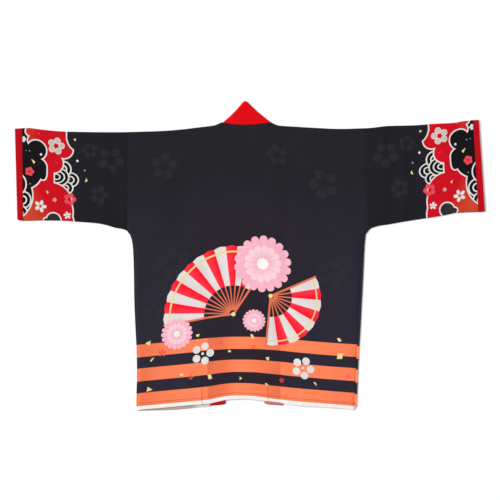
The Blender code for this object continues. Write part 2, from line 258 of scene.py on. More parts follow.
# Creases: narrow ridges and troughs in the cloth.
CREASES = [
    (-400, -272, -424, -236, 5, 0.9),
    (-392, -276, -410, -250, 4, -0.6),
    (-362, -284, -392, -232, 6, 0.7),
    (352, -282, 388, -226, 6, 0.7),
    (372, -278, 398, -244, 4, -0.5),
    (150, -76, 206, -138, 6, 0.8),
    (198, -132, 276, -226, 7, 0.6),
    (-326, -312, -300, -352, 5, 0.8),
    (326, -322, 300, -360, 5, 0.8),
    (318, -340, 306, -420, 5, -0.7),
    (310, -400, 304, -520, 4, 0.8),
    (-308, -380, -302, -470, 4, 0.5),
    (-96, -596, -84, -640, 4, 0.3),
    (-70, -600, -62, -626, 5, -0.25),
    (112, -598, 132, -634, 3, 0.4),
    (124, -596, 150, -618, 3, -0.3),
    (-34, -672, -42, -700, 2.5, 0.3),
    (-236, -700, -228, -790, 8, 0.5),
    (-190, -720, -186, -790, 7, -0.4),
    (236, -690, 240, -790, 9, 0.5),
    (200, -730, 204, -795, 6, -0.35),
    (-20, -700, -22, -770, 8, 0.35),
]
# The side seam's allowance shows: a rim this far in, steep on its outside and long on its inside.
SIDE_RIM, SIDE_RIM_STEEP, SIDE_RIM_LONG = 6.4, 3.2, 14.0
SIDE_RIM_HEIGHTS = (0.9, 0.3)
SIDE_DROP = 0.25  # outside the left rim the cloth is drawn down by this share of the way to it
# Low waves of cloth that isn't pressed: length of the wave, its direction in degrees, height
# and phase.
WAVES = [
    (171, 14, 0.22, 0.4),
    (118, 82, 0.16, 2.1),
    (83, 41, 0.12, 4.4),
    (59, 118, 0.08, 1.3),
    (37, 65, 0.05, 5.2),
]
# Gathers beside a seam: how far they reach, and the lengths of their long and short waves. The
# short ones have this share of the height, and run ahead by this angle.
PUCKER_REACH, PUCKER_WAVES = 14.0, (17.0, 11.3)
SHORT_SHARE, SHORT_PHASE = 0.6, 1.0
CUFF_GATHERS_SHIFT = 40  # the gathers at a sleeve's cuff are those at its armhole, moved by this
HEM_PUCKER, HEM_PUCKER_WAVES = 0.3, (7.9, 5.3)  # beside the hem's stitches, as a share
SEAM_DIP, SEAM_DIP_WIDTH = 0.6, 1.7
STITCH_DIP, STITCH_DIP_WIDTH = 0.16, 0.9
# A stitch's points: share of the way along it, height over the cloth and thickness, both of
# these in radii of the thread.
STITCH = [(0, -1.4, 0.5), (0.15, -0.2, 1), (0.5, 0, 1), (0.85, -0.2, 1), (1, -1.4, 0.5)]
STITCH_SPACING = 0.5  # of the points of the line that a row of stitches follows
SEAM_THREAD_RADIUS, SEAM_THREAD_SINK, SEAM_THREAD_SPACING = 0.4, 0.35, 2.0
SEAM_THREAD_WOBBLE, SEAM_THREAD_WOBBLES = 0.05, 1.7  # how far it strays, and how often
THREAD_SIDES = 6

SPACING = 4.6  # of the points across a piece of cloth
BAND_SPACING = 2.2
# Finer points where something narrow shows: beside a seam, about the hem's stitches, and about
# the narrow folds at the hem.
BESIDE_SEAM = (0.3, 0.8, 1.7, 2.8, 4.3, 5, 5.7, 6.4, 7.1, 7.8, 8.6)
ABOUT_LINE = (-2, -1.3, -0.7, 0, 0.7, 1.3, 2)
BESIDE_TUBE_END = (0.3, 0.9)
ARC_STEPS = 8
HALF_TURN = np.linspace(0.0, math.pi, ARC_STEPS + 1)  # the angles round a folded edge
HEM_ROWS = ARC_STEPS + HEM_STEPS  # rows of points that a hem adds to a panel
# Near enough, how far the points spread down a sleeve and across a front and the back.
TUBE_DEPTH, PANEL_WIDTH, BACK_WIDTH = 240.0, 240.0, 650.0


# ------------------------------------------------------------------------------------------------
# The print, in millimetres on the flat cloth
# ------------------------------------------------------------------------------------------------

EDGE_SOFTNESS = 0.7  # how soft a printed shape's edge is

# Stripes across the body: top and bottom, as if the hem were straight.
STRIPES = [(-613, -648), (-679.5, -715.5), (-748.5, -785)]
EDGE_WHITE = -785  # the cloth is left white below this
# The black turns dusky down the body and warm about its middle: where each change starts and ends,
# and how far slow clouds shift it.
TONE_CLOUDS = {"Scale": 0.012, "Detail": 1.5}
DUSKY_DOWN, DUSKY_DRIFT = (-60, -420), 160
WARM_MIDDLE, WARM_ACROSS, WARM_DOWN, WARM_DRIFT = -8, (215, 125), (-190, -330), 90
# Painted shade: where the neck band lies beneath, the thin cloth's stripes are painted darker:
# x of the band's sewn edge, where they are darkest and where it ends, and how strong.
SHADE_OVER_BAND = [(-110, -66, -25, 1), (94, 84, -5, 0.85)]
BAND_SHADE_SOFTNESS = 2
# Painted shade: towards the side seams the stripes are painted darker: x where that starts, x of
# the seam and how strong it is there.
SIDE_SHADE = [(-165, -300, 0.8), (215, 300, 0.5)]
# Painted shade: they are painted darker below the hem's stitches too, where the hem lies double,
# by this, and the row of stitches is painted as a dark line, shade in its groove: half width,
# softness and strength.
HEM_SHADE, HEM_SOFTNESS = 0.35, 0.8
HEM_LINE = (0.5, 0.8, 0.45)
# Painted shadow: the left front's white edge is painted in shade between these two stretches of
# x, over which that comes and goes.
EDGE_SHADOW_FROM, EDGE_SHADOW_TO = (-306, -296), (-156, -130)
RIGHT_FRONT_LOWER = 11.2  # the right front is cut with its print this much lower

# Plum blossoms over the stripes: x, y, radius and turn in degrees. Petals and hearts are as big
# as these shares of the radius.
BIG_PLUMS = [(-124, -655.6, 31.7, 0), (156.5, -690.2, 31.7, -6)]
PLUM_PETAL, PLUM_HEART = 0.335, 0.12
# Notched blossoms: x, y, radius, turn and strength, and then the same for all of them, how
# slender the petals are and how big the open heart is.
SMALL_BLOSSOMS = [
    (-237, -642, 12, 12, 1), (-157, -717.5, 8, 5, 1), (97, -731, 8, 25, 1),
    (-73, -629.5, 7, 40, 0.8), (18, -642, 7.5, 70, 0.8), (283, -703.5, 7.5, 50, 0.8),
]
SMALL_SLENDER, SMALL_HEART = 1.3, 0.16
NOTCH_SHARPNESS, NOTCH_DEPTH = 4.2, 0.2
# Flakes: x, y, width, height, turn, lean and taper.
HEM_FLAKES = [
    (-277, -611, 14, 13, 80, 0.1, 0.9), (-266, -658, 14, 4, 50, 0.6, 0.3),
    (-275, -739, 17, 12, 14, 0.15, 0.95), (-183, -708, 9, 6, 5, 0.2, 0.2),
    (-138, -602, 9, 8, 60, 0.3, 0.4), (-104, -722, 10, 13, 8, 0.15, 0.1),
    (-49, -654, 9, 6, 0, 0.2, 0.4), (-17, -734, 10, 7, -90, 0.2, 1),
    (15, -612, 7, 12, 0, 0.35, 0), (58, -674, 11, 9, 190, 0.1, 0.6),
    (55, -747, 7, 7, 10, 0.4, 0.2), (119, -608, 13, 10, 0, 0.1, 0.95),
    (191, -731, 13, 4, -48, 0.5, 0.5), (258, -603, 9, 10, 20, 0.3, 0.2),
    (260, -649, 15, 15, 4, -0.25, 0),
]
# Faint plum blossoms in the black, a shade off it: x, y, radius and turn.
SHADOW_PLUMS = [
    (-232, -118, 36, 10), (214, -168, 42, 40), (-206, -392, 46, 25), (236, -420, 40, 0),
    (84, -96, 30, 30), (-262, -528, 26, 15),
]
SHADOW_SOFTNESS, SHADOW_STRENGTH = 2.5, 0.55

# The design on the back: two open fans and three chrysanthemums. A fan's x, y, radius, direction
# and spread in degrees, and number of pleats.
FANS = [(66, -494, 142, -34, 122, 9), (-38, -548, 196, 121, 128, 13)]
# Shares of a fan's radius: where the ribs and the leaf start and end, how far each pleat's edge
# bulges, and the gold line's place and half width.
RIB_START, RIB_END, LEAF_START, LEAF_END = 0.06, 0.44, 0.42, 0.985
PLEAT_BULGE = 0.03
GOLD_LINE, GOLD_HALF_WIDTH = 0.91, 0.012
RIB_HALF_WIDTH, GUARD_HALF_WIDTH, PIVOT_RADIUS = 1.7, 2.8, 6
PLEAT_SHADE = 0.16  # how dark a pleat grows from its one fold to the next
# A chrysanthemum's x, y, radius and turn.
CHRYSANTHEMUMS = [(44, -404, 80, 8), (-196, -592, 44, 0), (20, -566, 32, 14)]
# Rings of petals: share of the flower's radius, number and colour. Shares of a ring's radius:
# how much shorter it is between petals, where the lines between them come in, and where the shade
# about the heart ends.
PETAL_RINGS = [(1, 18, "pink"), (0.66, 14, "pale_pink")]
PETAL_DIP, PETAL_LINE_FROM, PETAL_SHADE_TO = 0.16, (0.2, 0.3), (0.25, 0.75)
PETAL_LINE_HALF_WIDTH, PETAL_SHADE = 0.7, 0.45
CHRYSANTHEMUM_HEART = 0.2

# The right sleeve is cut with its print further along and down by this, and turned: along,
# down, and how much further down for each millimetre along.
RIGHT_SLEEVE_CUT = (-0.8, 12.7, -0.055)
# The sleeve print, from the cuff's seam and from the top fold: discs of (along, down, radius).
CLOUD_BAND, CLOUD_WAIST = 122, 87  # how far the red reaches at the top fold and below
CLOUD = [
    (116, 50, 25), (96, 62, 13), (86, 90, 27), (82, 201, 54.5), (75, 225, 64), (70, 262, 72),
]
CLOUD_BITES = [(164, 18, 41)]
# Towards the cuff's seam the red turns orange between two places along, most at one place down
# and less by a slope away from it, which is gentler above.
GLOW_ALONG, GLOW_DOWN, GLOW_SLOPE, GLOW_GENTLER = (18, -46), 118, 0.55, 0.5
# The black cloud about the cuff's seam: a strip, less two bites, and then discs.
CUFF_STRIP = (20, 80)  # how far along and down the strip reaches
CUFF_BITES = [(23, 8, 13.2), (31, 33.5, 15.2)]
CUFF_CLOUD = [
    (40, 59, 30), (44, 105, 26.5), (47.8, 112, 22.8), (51, 119, 19.5), (53.8, 125.5, 16),
    (56, 131, 12.3), (-3, 115, 61), (-46, 188, 76),
]
FOLD_BUMPS = [(86, 250, 22.5), (66, 254, 11)]  # of a dark cloud at the lower fold
OUTLINE = 3.6  # of white about every cloud
# Wave scales are painted in this order, so that each lies over the one before: x, y, radius and
# how much flatter than round.
WAVE_RING, WAVE_WHITE = 12.4, 0.32
FAR_WAVES = [(132, 135, 26, 1.2), (113, 106, 24.4, 1), (118, 158, 24.4, 1.25), (94.5, 128, 36.8, 1.35)]
CUFF_WAVES = [(-0.8, 201, 25.4, 1), (-25, 157, 36.8, 1), (-10, 238, 24.4, 1)]
SLEEVE_FLAKES = [
    (146, 22, 8, 7, 90, 0.1, 1), (29, 91, 8, 13, 120, 0.3, 1), (178, 134, 9, 9, 150, 0.6, 1),
    (68, 172, 6, 9, 128, 0.3, 1),
]
# Dots of one colour and strength: (along, down, radius).
SLEEVE_DOTS = [
    ("white", 1, [(153.5, 81.5, 3.4), (52, 70, 3.2)]),
    ("white", 0.5, [(174, 108, 2.4), (20, 64, 1.7), (10, 63, 1.2), (21, 156, 1.6), (46, 12, 1.2)]),
    ("coral", 0.5, [(94, 87, 1.8), (98, 89, 1.8)]),
]
SLEEVE_SHADOWS = [(248, 78, 36, 12), (188, 52, 22, 40), (214, 176, 26, 0)]
# Plum blossoms: x, y, radius, turn, petals' share of the radius, and colours of rim and inside.
SLEEVE_PLUMS = [
    (94.5, 42, 24.2, -4, 0.372, "white", "blush"), (2, 31, 8.5, 0, 0.46, "white", "white"),
    (19.3, 121.5, 12.9, 0, 0.42, "coral", "coral"),
]
PLUM_RIM = 1.2
STAR = (19.3, 121.5, 12.9, 36)  # fine lines in the last of those, turned between its petals
STAR_HALF_WIDTH, STAR_REACH = 0.7, (0.1, 0.5)  # and the shares of its radius they run between
# Two more, the one with a round hole for a heart and the other with narrow petals: x, y, radius,
# turn and petals' share, and the hole's radius and how narrow.
OPEN_PLUM, OPEN_HEART = (132, 189.3, 17.5, 0, 0.4), 6
NARROW_PLUM, NARROWNESS = (49, 215, 17.5, 0, 0.4), 1.45
# Notched blossoms: x, y, radius, turn, how slender and colour, and how big the open heart is.
SLEEVE_BLOSSOMS = [(89.5, 193, 6.5, 0, 1.1, "blush"), (124, 234.5, 11.5, 45, 0.8, "white")]
SLEEVE_HEART = 0.14

# Painted highlight: the neck band is painted a shade brighter along its sewn edge; it is paler
# at its right end: the width and softness of both. Painted shade: the cuff is painted darker
# along its stitches' groove: half width, softness and strength.
HIGHLIGHT_EDGE, HIGHLIGHT_SHARE = (5, 3), 1.15
PALE_END = (26, 8)
CUFF_LINE, CUFF_LINE_SHADE = (0.8, 1.2, 0.6), 0.45
CUFF_THREAD_SHADE = 0.55

# The surface of cloth and thread, in metres: patches of tone, fine wrinkles, the weave's threads
# and the sewing thread's twist.
PATCHES = {"Scale": 9.0, "Detail": 3.0}
WRINKLES = {"Scale": 55.0, "Detail": 4.0, "Roughness": 0.62, "Distortion": 0.4}
WRINKLE_HEIGHT = 0.0011
WEAVE_SPACING, WEAVE_HEIGHT = 0.0009, 0.00003
TWIST_SPACING, TWIST_HEIGHT, TWIST_SHADE = 0.0004, 0.00004, 0.7

TABLE_REACH = 6.0  # half the table's width, in metres


# ------------------------------------------------------------------------------------------------
# Shapes
# ------------------------------------------------------------------------------------------------


def curve_at(points, x):
    """Heights of a smooth curve through (x, y) points, by cubic pieces that never overshoot."""
    xs, ys = np.array(points, float).T
    steps = np.diff(ys) / np.diff(xs)
    slopes = np.concatenate([[steps[0]], np.zeros(len(xs) - 2), [steps[-1]]])
    rising = steps[:-1] * steps[1:] > 0
    before, after = steps[:-1][rising], steps[1:][rising]
    slopes[1:-1][rising] = 2 * before * after / (before + after)
    x = np.clip(x, xs[0], xs[-1])
    i = np.clip(np.searchsorted(xs, x, side="right") - 1, 0, len(xs) - 2)
    width = xs[i + 1] - xs[i]
    t = (x - xs[i]) / width
    return (
        ys[i] * (1 + 2 * t) * (1 - t) ** 2
        + ys[i + 1] * t * t * (3 - 2 * t)
        + width * t * (1 - t) * (slopes[i] * (1 - t) - slopes[i + 1] * t)
    )


def rows_at(table, place):
    """Every column of a table at places between its rows, such as 3.5, as columns of an array."""
    index = np.arange(len(table))
    return [curve_at(list(zip(index, column)), place)[:, None] for column in zip(*table)]


def places_down(table, finer=()):
    """Places from a table's first row to its last, about evenly spaced, with more of them at
    distances from a row, given as (row, distances)."""
    found, lengths = [0.0], []
    for i in range(len(table) - 1):
        lengths.append(math.dist(table[i][:2], table[i + 1][:2]))
        steps = max(1, round(lengths[-1] / SPACING))
        found += [i + k / steps for k in range(1, steps + 1)]
    for i, distances in finer:
        found += [i + away / lengths[i if away >= 0 else i - 1] for away in distances]
    return np.unique(np.round(found, 5))


def mix(a, b, share):
    """What lies a share of the way from a to b."""
    return a + (b - a) * share


def smooth(low, high, value):
    """0 below low, 1 above high, and a soft step between."""
    t = np.clip((value - low) / (high - low), 0.0, 1.0)
    return t * t * (3 - 2 * t)


def ridge(x, y, fold, sharp=False):
    """Height of the cloth over a fold or crease, which wavers a little along its length."""
    x0, y0, x1, y1, *half_widths, height = fold
    dx, dy = x1 - x0, y1 - y0
    length = math.hypot(dx, dy)
    along = ((x - x0) * dx + (y - y0) * dy) / length
    aside = ((x - x0) * dy - (y - y0) * dx) / length
    beyond = (along - np.clip(along, 0.0, length)) / min(half_widths)
    off = np.hypot(aside / np.where(aside > 0, half_widths[0], half_widths[-1]), beyond)
    waver, slowness = FOLD_WAVER
    strength = 1 - waver + waver * np.sin(along / slowness + x0)
    return height * strength * np.exp(-off if sharp else -off * off)


def relief(x, y, to_edge):
    """How far the upper layer stands proud, dying away towards a folded edge."""
    pressed = [ridge(x, y, fold, sharp=True) for fold in PRESSED]
    total = np.max(pressed, axis=0) + np.min(pressed, axis=0)
    total += sum(ridge(x, y, fold, sharp=True) for fold in NARROW_FOLDS)
    total += sum(ridge(x, y, fold) for fold in FOLDS + CREASES)
    for length, direction, height, phase in WAVES:
        a = math.radians(direction)
        along = x * math.cos(a) + y * math.sin(a)
        total += height * (1 + np.sin(2 * math.pi * along / length + phase))
    return total * smooth(0.0, FOLD_FADE, to_edge)


def bump(away, width, height):
    """A soft ridge, or a groove where the height is negative."""
    return height * np.exp(-((away / width) ** 2))


def gathered(along, away, height, waves=PUCKER_WAVES, dip=SEAM_DIP):
    """Cloth beside a seam: small gathers that die away from it, and the dip into the seam."""
    long, short = waves
    wave = np.sin(2 * math.pi * along / long)
    wave += SHORT_SHARE * np.sin(2 * math.pi * along / short + SHORT_PHASE)
    return height * wave * np.exp(-away / PUCKER_REACH) - bump(away, SEAM_DIP_WIDTH, dip)


def folded_edge(lap):
    """Section of cloth turned over at an edge: how far in from the outline and how high, from
    the end of the lap on top, round the edge, to where the lower layer starts."""
    inset = np.concatenate([[LEAD + lap], LEAD - TURN * np.sin(HALF_TURN)])
    height = np.concatenate([[UPPER], LOWER + TURN + TURN * np.cos(HALF_TURN)])
    return inset, height


def body_y(row, x, hem, bows=()):
    """Height of a row of the body at x, bent to follow the shoulder, the bows and the hem, and
    unbent."""
    left_x, left_y, right_x, right_y = row
    first, last = ROWS[0], ROWS[-1]
    across = (x - left_x) / (right_x - left_x)
    down = (left_y - first[1]) / (last[1] - first[1])
    flat = mix(left_y, right_y, across)
    top = curve_at(SHOULDER, x) - mix(first[1], first[3], across)
    bowed, above = 0.0, 0.0
    stages = [((y - first[1]) / (last[1] - first[1]), curve_at(bow, x)) for y, bow in bows]
    for below, rise in (*stages, (1.0, curve_at(hem, x) - mix(last[1], last[3], across))):
        bowed = mix(bowed, rise, np.clip((down - above) / (below - above), 0.0, 1.0))
        above = below
    return flat + top * (1 - down) ** SHOULDER_BEND + bowed, flat


def run_at(side, y):
    """The band's sewn and free edge at y."""
    (top_y, top_seam, top_free), (end_y, end_seam, end_free) = BAND_RUNS[side]
    share = (y - top_y) / (end_y - top_y)
    return mix(top_seam, end_seam, share), mix(top_free, end_free, share)


def side_lap(side, place):
    """How far a front's side is lapped onto the back, at places down the body."""
    return SIDE_LAP[side] * smooth(UNDERARM, UNDERARM + LAP_GROWS, place)


def under_back(x, y, above_hem):
    """Top of what the back panel lies on: the fronts, their hems and the band's two runs."""
    left, right = run_at("left", y)[0], run_at("right", y)[0]
    over_band = 1 - smooth(*BAND_EASE, np.maximum(left - x, x - right))
    body = mix(OVER_FRONT, OVER_BAND, over_band)
    hem = mix(OVER_HEM, OVER_FRONT, smooth(HEM_DEPTH, 2 * HEM_DEPTH, above_hem))
    return np.maximum(body, hem)


def turned_hem(points, prints, inwards):
    """Adds the hem to a panel: its last row rounds the edge and lies back over the panel's inner
    face, whose direction is given for each column."""
    lead = WALL / 2 + HEM_TURN
    angles = HALF_TURN[1:]
    level = np.linspace(HEM_LEVEL, HEM_DEPTH, HEM_STEPS)
    back = np.concatenate([-HEM_TURN * np.sin(angles), level])
    rise = np.concatenate([HEM_TURN * (1 - np.cos(angles)), np.full(HEM_STEPS, 2 * HEM_TURN)])
    points[-1, :, 1] += lead
    steps = np.hypot(np.diff(back, prepend=0.0), np.diff(rise, prepend=0.0))
    spent = lead + np.cumsum(steps)
    more_points, more_prints = [points], [prints]
    for dy, dz, away in zip(back, rise, spent):
        row = points[-1] + np.array([0.0, dy, 0.0]) + dz * inwards
        more_points.append(row[None])
        more_prints.append((prints[-1] - np.array([0.0, away]))[None])
    return np.concatenate(more_points), np.concatenate(more_prints)


def shares_across(row, width):
    """Shares of the way across a panel, closer together beside its seams and narrow folds."""
    left, right = row[0], row[2]
    found = list(np.linspace(0, 1, round(width / SPACING)))
    for away in BESIDE_SEAM:
        found += [away / width, 1 - away / width]
    for fold in NARROW_FOLDS:
        found += [(fold[2] + away - left) / (right - left) for away in ABOUT_LINE]
    return np.unique(np.round(found, 5))


def back_top(x):
    """Height of the back's sewn top edge, which runs below the fronts' laps and the neck's seam."""
    at_shoulder = curve_at(SHOULDER, x) - (LEAD + SHOULDER_LAP + SEAM_GAP)
    at_neck = np.minimum(at_shoulder, curve_at(NECK, x) - NECK_GAP)
    return np.where(np.abs(x) < NECK[-1][0], at_neck, at_shoulder)


def side_rim(x, from_side):
    """Height of the rim beside a side seam, where its allowance shows."""
    inside = from_side - SIDE_RIM
    rim = np.where(inside > 0, np.exp(-inside / SIDE_RIM_LONG), bump(inside, SIDE_RIM_STEEP, 1.0))
    return rim * np.where(x < 0, *SIDE_RIM_HEIGHTS)


def back_sheet(sizes):
    """The back panel on top of the fronts and the band, down to its hem."""
    place = places_down(ROWS, [(0, BESIDE_SEAM[:4]), (len(ROWS) - 2, ABOUT_LINE)])
    row = rows_at(ROWS, place)
    at = place[:, None]
    armhole = at < UNDERARM
    insets = [
        np.where(armhole, SEAM_GAP / 2, LEAD + side_lap(side, at) + SIDE_GAP) for side in SIDES
    ]
    left, right = row[0] + insets[0], row[2] - insets[1]
    x = mix(left, right, shares_across(ROWS[-1], BACK_WIDTH)[None, :])
    y, flat = body_y(row, x, BACK_HEM, BACK_BOWS)
    top = back_top(x[0])
    # Near the top edge the rows are pressed down, so that they stay a millimetre apart.
    y = np.minimum(y, top[None, :] - np.arange(len(place))[:, None])
    y[0] = top
    from_side = np.minimum(x - left, right - x)
    from_top = top[None, :] - y
    to_fold = np.where(armhole, from_top, np.minimum(from_side, from_top))
    z = under_back(x, y, y - curve_at(BACK_HEM, x)) + BACK_CLEARANCE
    z += sizes.relief * relief(x, y, to_fold)
    pucker = sizes.pucker / MM
    z += gathered(y, from_side, pucker) + gathered(x, from_top, pucker)
    sewn = smooth(UNDERARM + LAP_GROWS - 1, UNDERARM + LAP_GROWS, at)
    z += sewn * side_rim(x, from_side)
    y = y - sewn * SIDE_DROP * np.maximum(SIDE_RIM - (x - left), 0.0)
    above_stitch = np.abs(flat - (ROWS[-1][1] + HEM_DEPTH))
    z += gathered(x, above_stitch, HEM_PUCKER * pucker, HEM_PUCKER_WAVES, dip=0.0)
    z -= bump(above_stitch, STITCH_DIP_WIDTH, STITCH_DIP)
    prints = np.stack([x, flat], axis=-1)
    return turned_hem(np.stack([x, y, z], axis=-1), prints, -UP)


def front_sheet(side):
    """A front panel on the table: its laps over the shoulder and round the side, and its hem."""
    sign = SIGN[side]
    hem = FRONT_HEM[side]
    drop, rise = folded_edge(SHOULDER_LAP)
    below = places_down(ROWS)[1:]
    place = np.concatenate([np.zeros(len(drop)), below])
    drop = np.concatenate([drop, np.zeros(len(below))])[:, None]
    rise = np.concatenate([rise - LOWER, np.zeros(len(below))])[:, None]
    row = rows_at(ROWS, place)
    at = place[:, None]
    outline = row[0] if side == "left" else row[2]
    inset, height = folded_edge(0.0)
    turned = np.repeat(inset[None, :], len(place), axis=0)
    turned[:, :1] += side_lap(side, at)
    lying = SEAM_GAP / 2 + ARMHOLE_STEP * np.arange(len(inset))[None, :]
    folded = smooth(UNDERARM, UNDERARM + 1, at)
    edge_x = outline - sign * mix(lying, turned, folded)
    edge_z = mix(LOWER, height[None, :], folded)
    guess = run_at(side, row[1])[0]
    seam = run_at(side, body_y(row, guess, hem)[0])[0] + sign * SEAM_GAP
    shares = np.linspace(0, 1, round(PANEL_WIDTH / SPACING))[None, 1:]
    inner = mix(edge_x[:, -1:], seam, shares)
    x = np.concatenate([edge_x, inner], axis=1)
    z = np.concatenate([edge_z, np.full_like(inner, LOWER)], axis=1) + rise
    y, flat = body_y(row, x, hem)
    points = np.stack([x, y - drop, z], axis=-1)
    printed = flat - drop + (RIGHT_FRONT_LOWER if side == "right" else 0.0)
    inwards = np.tile(UP, (x.shape[1], 1))
    inwards[0, 2] = -1.0
    inwards[1 : len(inset), 0] = -sign * np.sin(HALF_TURN)
    inwards[1 : len(inset), 2] = -np.cos(HALF_TURN)
    return turned_hem(points, np.stack([x, printed], axis=-1), inwards)


def tube_sheet(stations, low, high, wall, proud=0.0, pucker=0.0, stitched=None):
    """A flattened tube through a table of stations. The print's places are counted from the
    last station and from the top fold, the same on both layers. A row of stitches at a distance
    from the last station draws both layers in."""
    near_end = [-away for away in BESIDE_TUBE_END]
    place = places_down(stations, [(0, BESIDE_TUBE_END), (len(stations) - 1, near_end)])
    top_x, top_y, bottom_x, bottom_y = rows_at(stations, place)
    length = np.hypot(top_x - bottom_x, top_y - bottom_y)
    turn = (high - low) / 2
    lead = wall / 2 + turn
    arc = HALF_TURN[None, 1:-1]
    share = np.linspace(0, 1, round(TUBE_DEPTH / SPACING))[None, :]
    flat = length - 2 * lead
    down = [lead + flat * share, lead + flat + turn * np.sin(arc)]
    down += [lead + flat * (1 - share), lead - turn * np.sin(arc) + 0 * length]
    down = np.concatenate(down, axis=1)
    z = [np.full_like(share, low), low + turn * (1 - np.cos(arc))]
    z += [np.full_like(share, high), high - turn * (1 - np.cos(arc))]
    z = np.repeat(np.concatenate(z, axis=1), len(place), axis=0)
    x = mix(top_x, bottom_x, down / length)
    y = mix(top_y, bottom_y, down / length)
    upper = slice(share.size + arc.size, 2 * share.size + arc.size)
    from_ends = [np.abs(x - x[:1]), np.abs(x - x[-1:])]
    if proud:
        z[:, upper] += proud * relief(x, y, np.minimum(down, length - down))[:, upper]
        for k, away in enumerate(from_ends):
            z[:, upper] += gathered(y + CUFF_GATHERS_SHIFT * k, away, pucker)[:, upper]
    if stitched is not None:
        groove = bump(from_ends[1] - stitched, STITCH_DIP_WIDTH, STITCH_DIP)
        z[:, upper] -= groove[:, upper]
        z[:, : share.size] += groove[:, : share.size]
    prints = np.stack([from_ends[1], down], axis=-1)
    return np.stack([x, y, z], axis=-1), np.concatenate([prints, prints[:, :1]], axis=1)


def peak_edge(turn):
    """A point of the peak's rounded tip, at an angle from straight up."""
    x, y = PEAK
    return x + PEAK_ROUND * math.sin(turn), y - PEAK_ROUND * (1 - math.cos(turn))


def peak_fold(side):
    """The neck's side point, the fold's upper end, and the direction out of the fold."""
    sign = SIGN[side]
    corner = np.array([sign * NECK_SIDE, float(curve_at(NECK, sign * NECK_SIDE))])
    tip = np.array(peak_edge(sign * PEAK_TURN))
    along = tip - corner
    outward = np.array([-along[1], along[0]]) / np.linalg.norm(along)
    return corner, tip, outward * math.copysign(1.0, outward[0] * sign)


def band_line(near, far, pull=(0.0, 0.0)):
    """Points across the band, sewn edge to free edge, drawn inwards by pull at its middle."""
    share = np.linspace(0, 1, round(BAND_WIDTH / BAND_SPACING))[:, None]
    line = mix(np.array(near), np.array(far), share)
    line[:, :2] -= PEAK_SAG * np.sin(math.pi * share) * np.array(pull)
    return line


def band_half(side):
    """Lines across the band from the hem up to the peak's own edge."""
    (top_y, top_seam, top_free), (end_y, _, _) = BAND_RUNS[side]
    corner, tip, outward = peak_fold(side)
    lines = []
    for y in np.linspace(end_y, top_y, round((top_y - end_y) / (2 * SPACING))):
        seam, free = run_at(side, y)
        rise = END_RISE * (y - top_y) / (end_y - top_y)
        lines.append(band_line((seam, y, BAND_LOWER), (free, y + rise, BAND_LOWER)))
    lines[0][:, 1] += END_ROUND * np.linspace(0, 1, len(lines[0])) ** END_ROUND_POWER
    # Under the peak the lines swing round the neck's side until they lie along the fold.
    for share in np.linspace(0, 1, NECK_LINES + 1)[1:]:
        near = (mix(top_seam, corner[0], share), mix(top_y, corner[1], share), BAND_LOWER)
        far = (mix(top_free, tip[0], share), mix(top_y, tip[1], share), BAND_LOWER)
        lines.append(band_line(near, far, outward * share))
    for a in HALF_TURN[1:]:
        out = outward * BAND_TURN * math.sin(a)
        z = BAND_LOWER + BAND_TURN * (1 - math.cos(a))
        lines.append(band_line((*(corner + out), z), (*(tip + out), z), outward))
    return lines


def band_relief(x, y):
    """How far the peak's upper layer stands proud: a low dome with the pressed ridges."""
    from_fold = np.full_like(x, PEAK[1])
    for side in SIDES:
        corner, _, outward = peak_fold(side)
        away = -((x - corner[0]) * outward[0] + (y - corner[1]) * outward[1])
        from_fold = np.minimum(from_fold, np.maximum(away, 0.0))
    from_seam = np.maximum(y - curve_at(NECK, x), 0.0)
    inside = smooth(0.0, FOLD_FADE, from_fold) * smooth(0.0, FOLD_FADE, from_seam)
    total = BAND_DOME * inside
    for away, (place, width, height) in zip((from_fold, from_seam), BAND_RIDGES):
        total += bump(away - place, width, height) * smooth(0.0, place, from_fold)
    return total - bump(from_seam, SEAM_DIP_WIDTH, SEAM_DIP) * smooth(0.0, 2 * TURN, from_fold)


def band_sheet():
    """The neck band, from the left front's hem up, over the peak and down to the right one's."""
    pulls = [peak_fold(side)[2] for side in SIDES]
    peak = []
    for share in np.linspace(0, 1, round(2 * NECK_SIDE / BAND_SPACING))[1:-1]:
        x = mix(-NECK_SIDE, NECK_SIDE, share)
        tip = peak_edge(mix(-PEAK_TURN, PEAK_TURN, share))
        near = (x, float(curve_at(NECK, x)), BAND_UPPER)
        line = band_line(near, (*tip, BAND_UPPER), mix(*pulls, share))
        line[:, 2] += band_relief(line[:, 0], line[:, 1])
        peak.append(line)
    points = np.array(band_half("left") + peak + band_half("right")[::-1])
    steps = np.linalg.norm(np.diff(points.mean(axis=1), axis=0), axis=1)
    along = np.concatenate([[0], np.cumsum(steps)])
    across = BAND_WIDTH * np.linspace(0, 1, points.shape[1])
    prints = np.broadcast_arrays(along[:, None], across[None, :])
    return points, np.stack(prints, axis=-1)


# The solids stand with the middle of their outline over the origin, and so do the pieces.
SHIFT = np.array([
    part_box("back")[0].x - (ROWS[0][0] + SEAM_GAP / 2) * MM,
    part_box("front_left")[0].y - min(y for _, y in FRONT_HEM["left"]) * MM,
    0.0,
])


def grid_faces(rows, columns, closed):
    """The faces of a grid of points: their corners' rows and columns, and their corners' numbers.
    In a closed grid the last column meets the first."""
    reach = columns if closed else columns - 1
    i, j = np.meshgrid(np.arange(rows - 1), np.arange(reach), indexing="ij")
    corners = [(i, j), (i, j + 1), (i + 1, j + 1), (i + 1, j)]
    faces = np.stack([a * columns + b % columns for a, b in corners], axis=-1)
    return corners, faces.reshape(-1, 4)


def smooth_piece(name, points, faces, material):
    """A smooth piece of one material, from points in the coat's own millimetres."""
    mesh = bpy.data.meshes.new(name)
    mesh.from_pydata((points.reshape(-1, 3) * MM + SHIFT).tolist(), [], faces.tolist())
    mesh.shade_smooth()
    mesh.materials.append(material)
    piece = bpy.data.objects.new(name, mesh)
    bpy.context.scene.collection.objects.link(piece)
    return piece


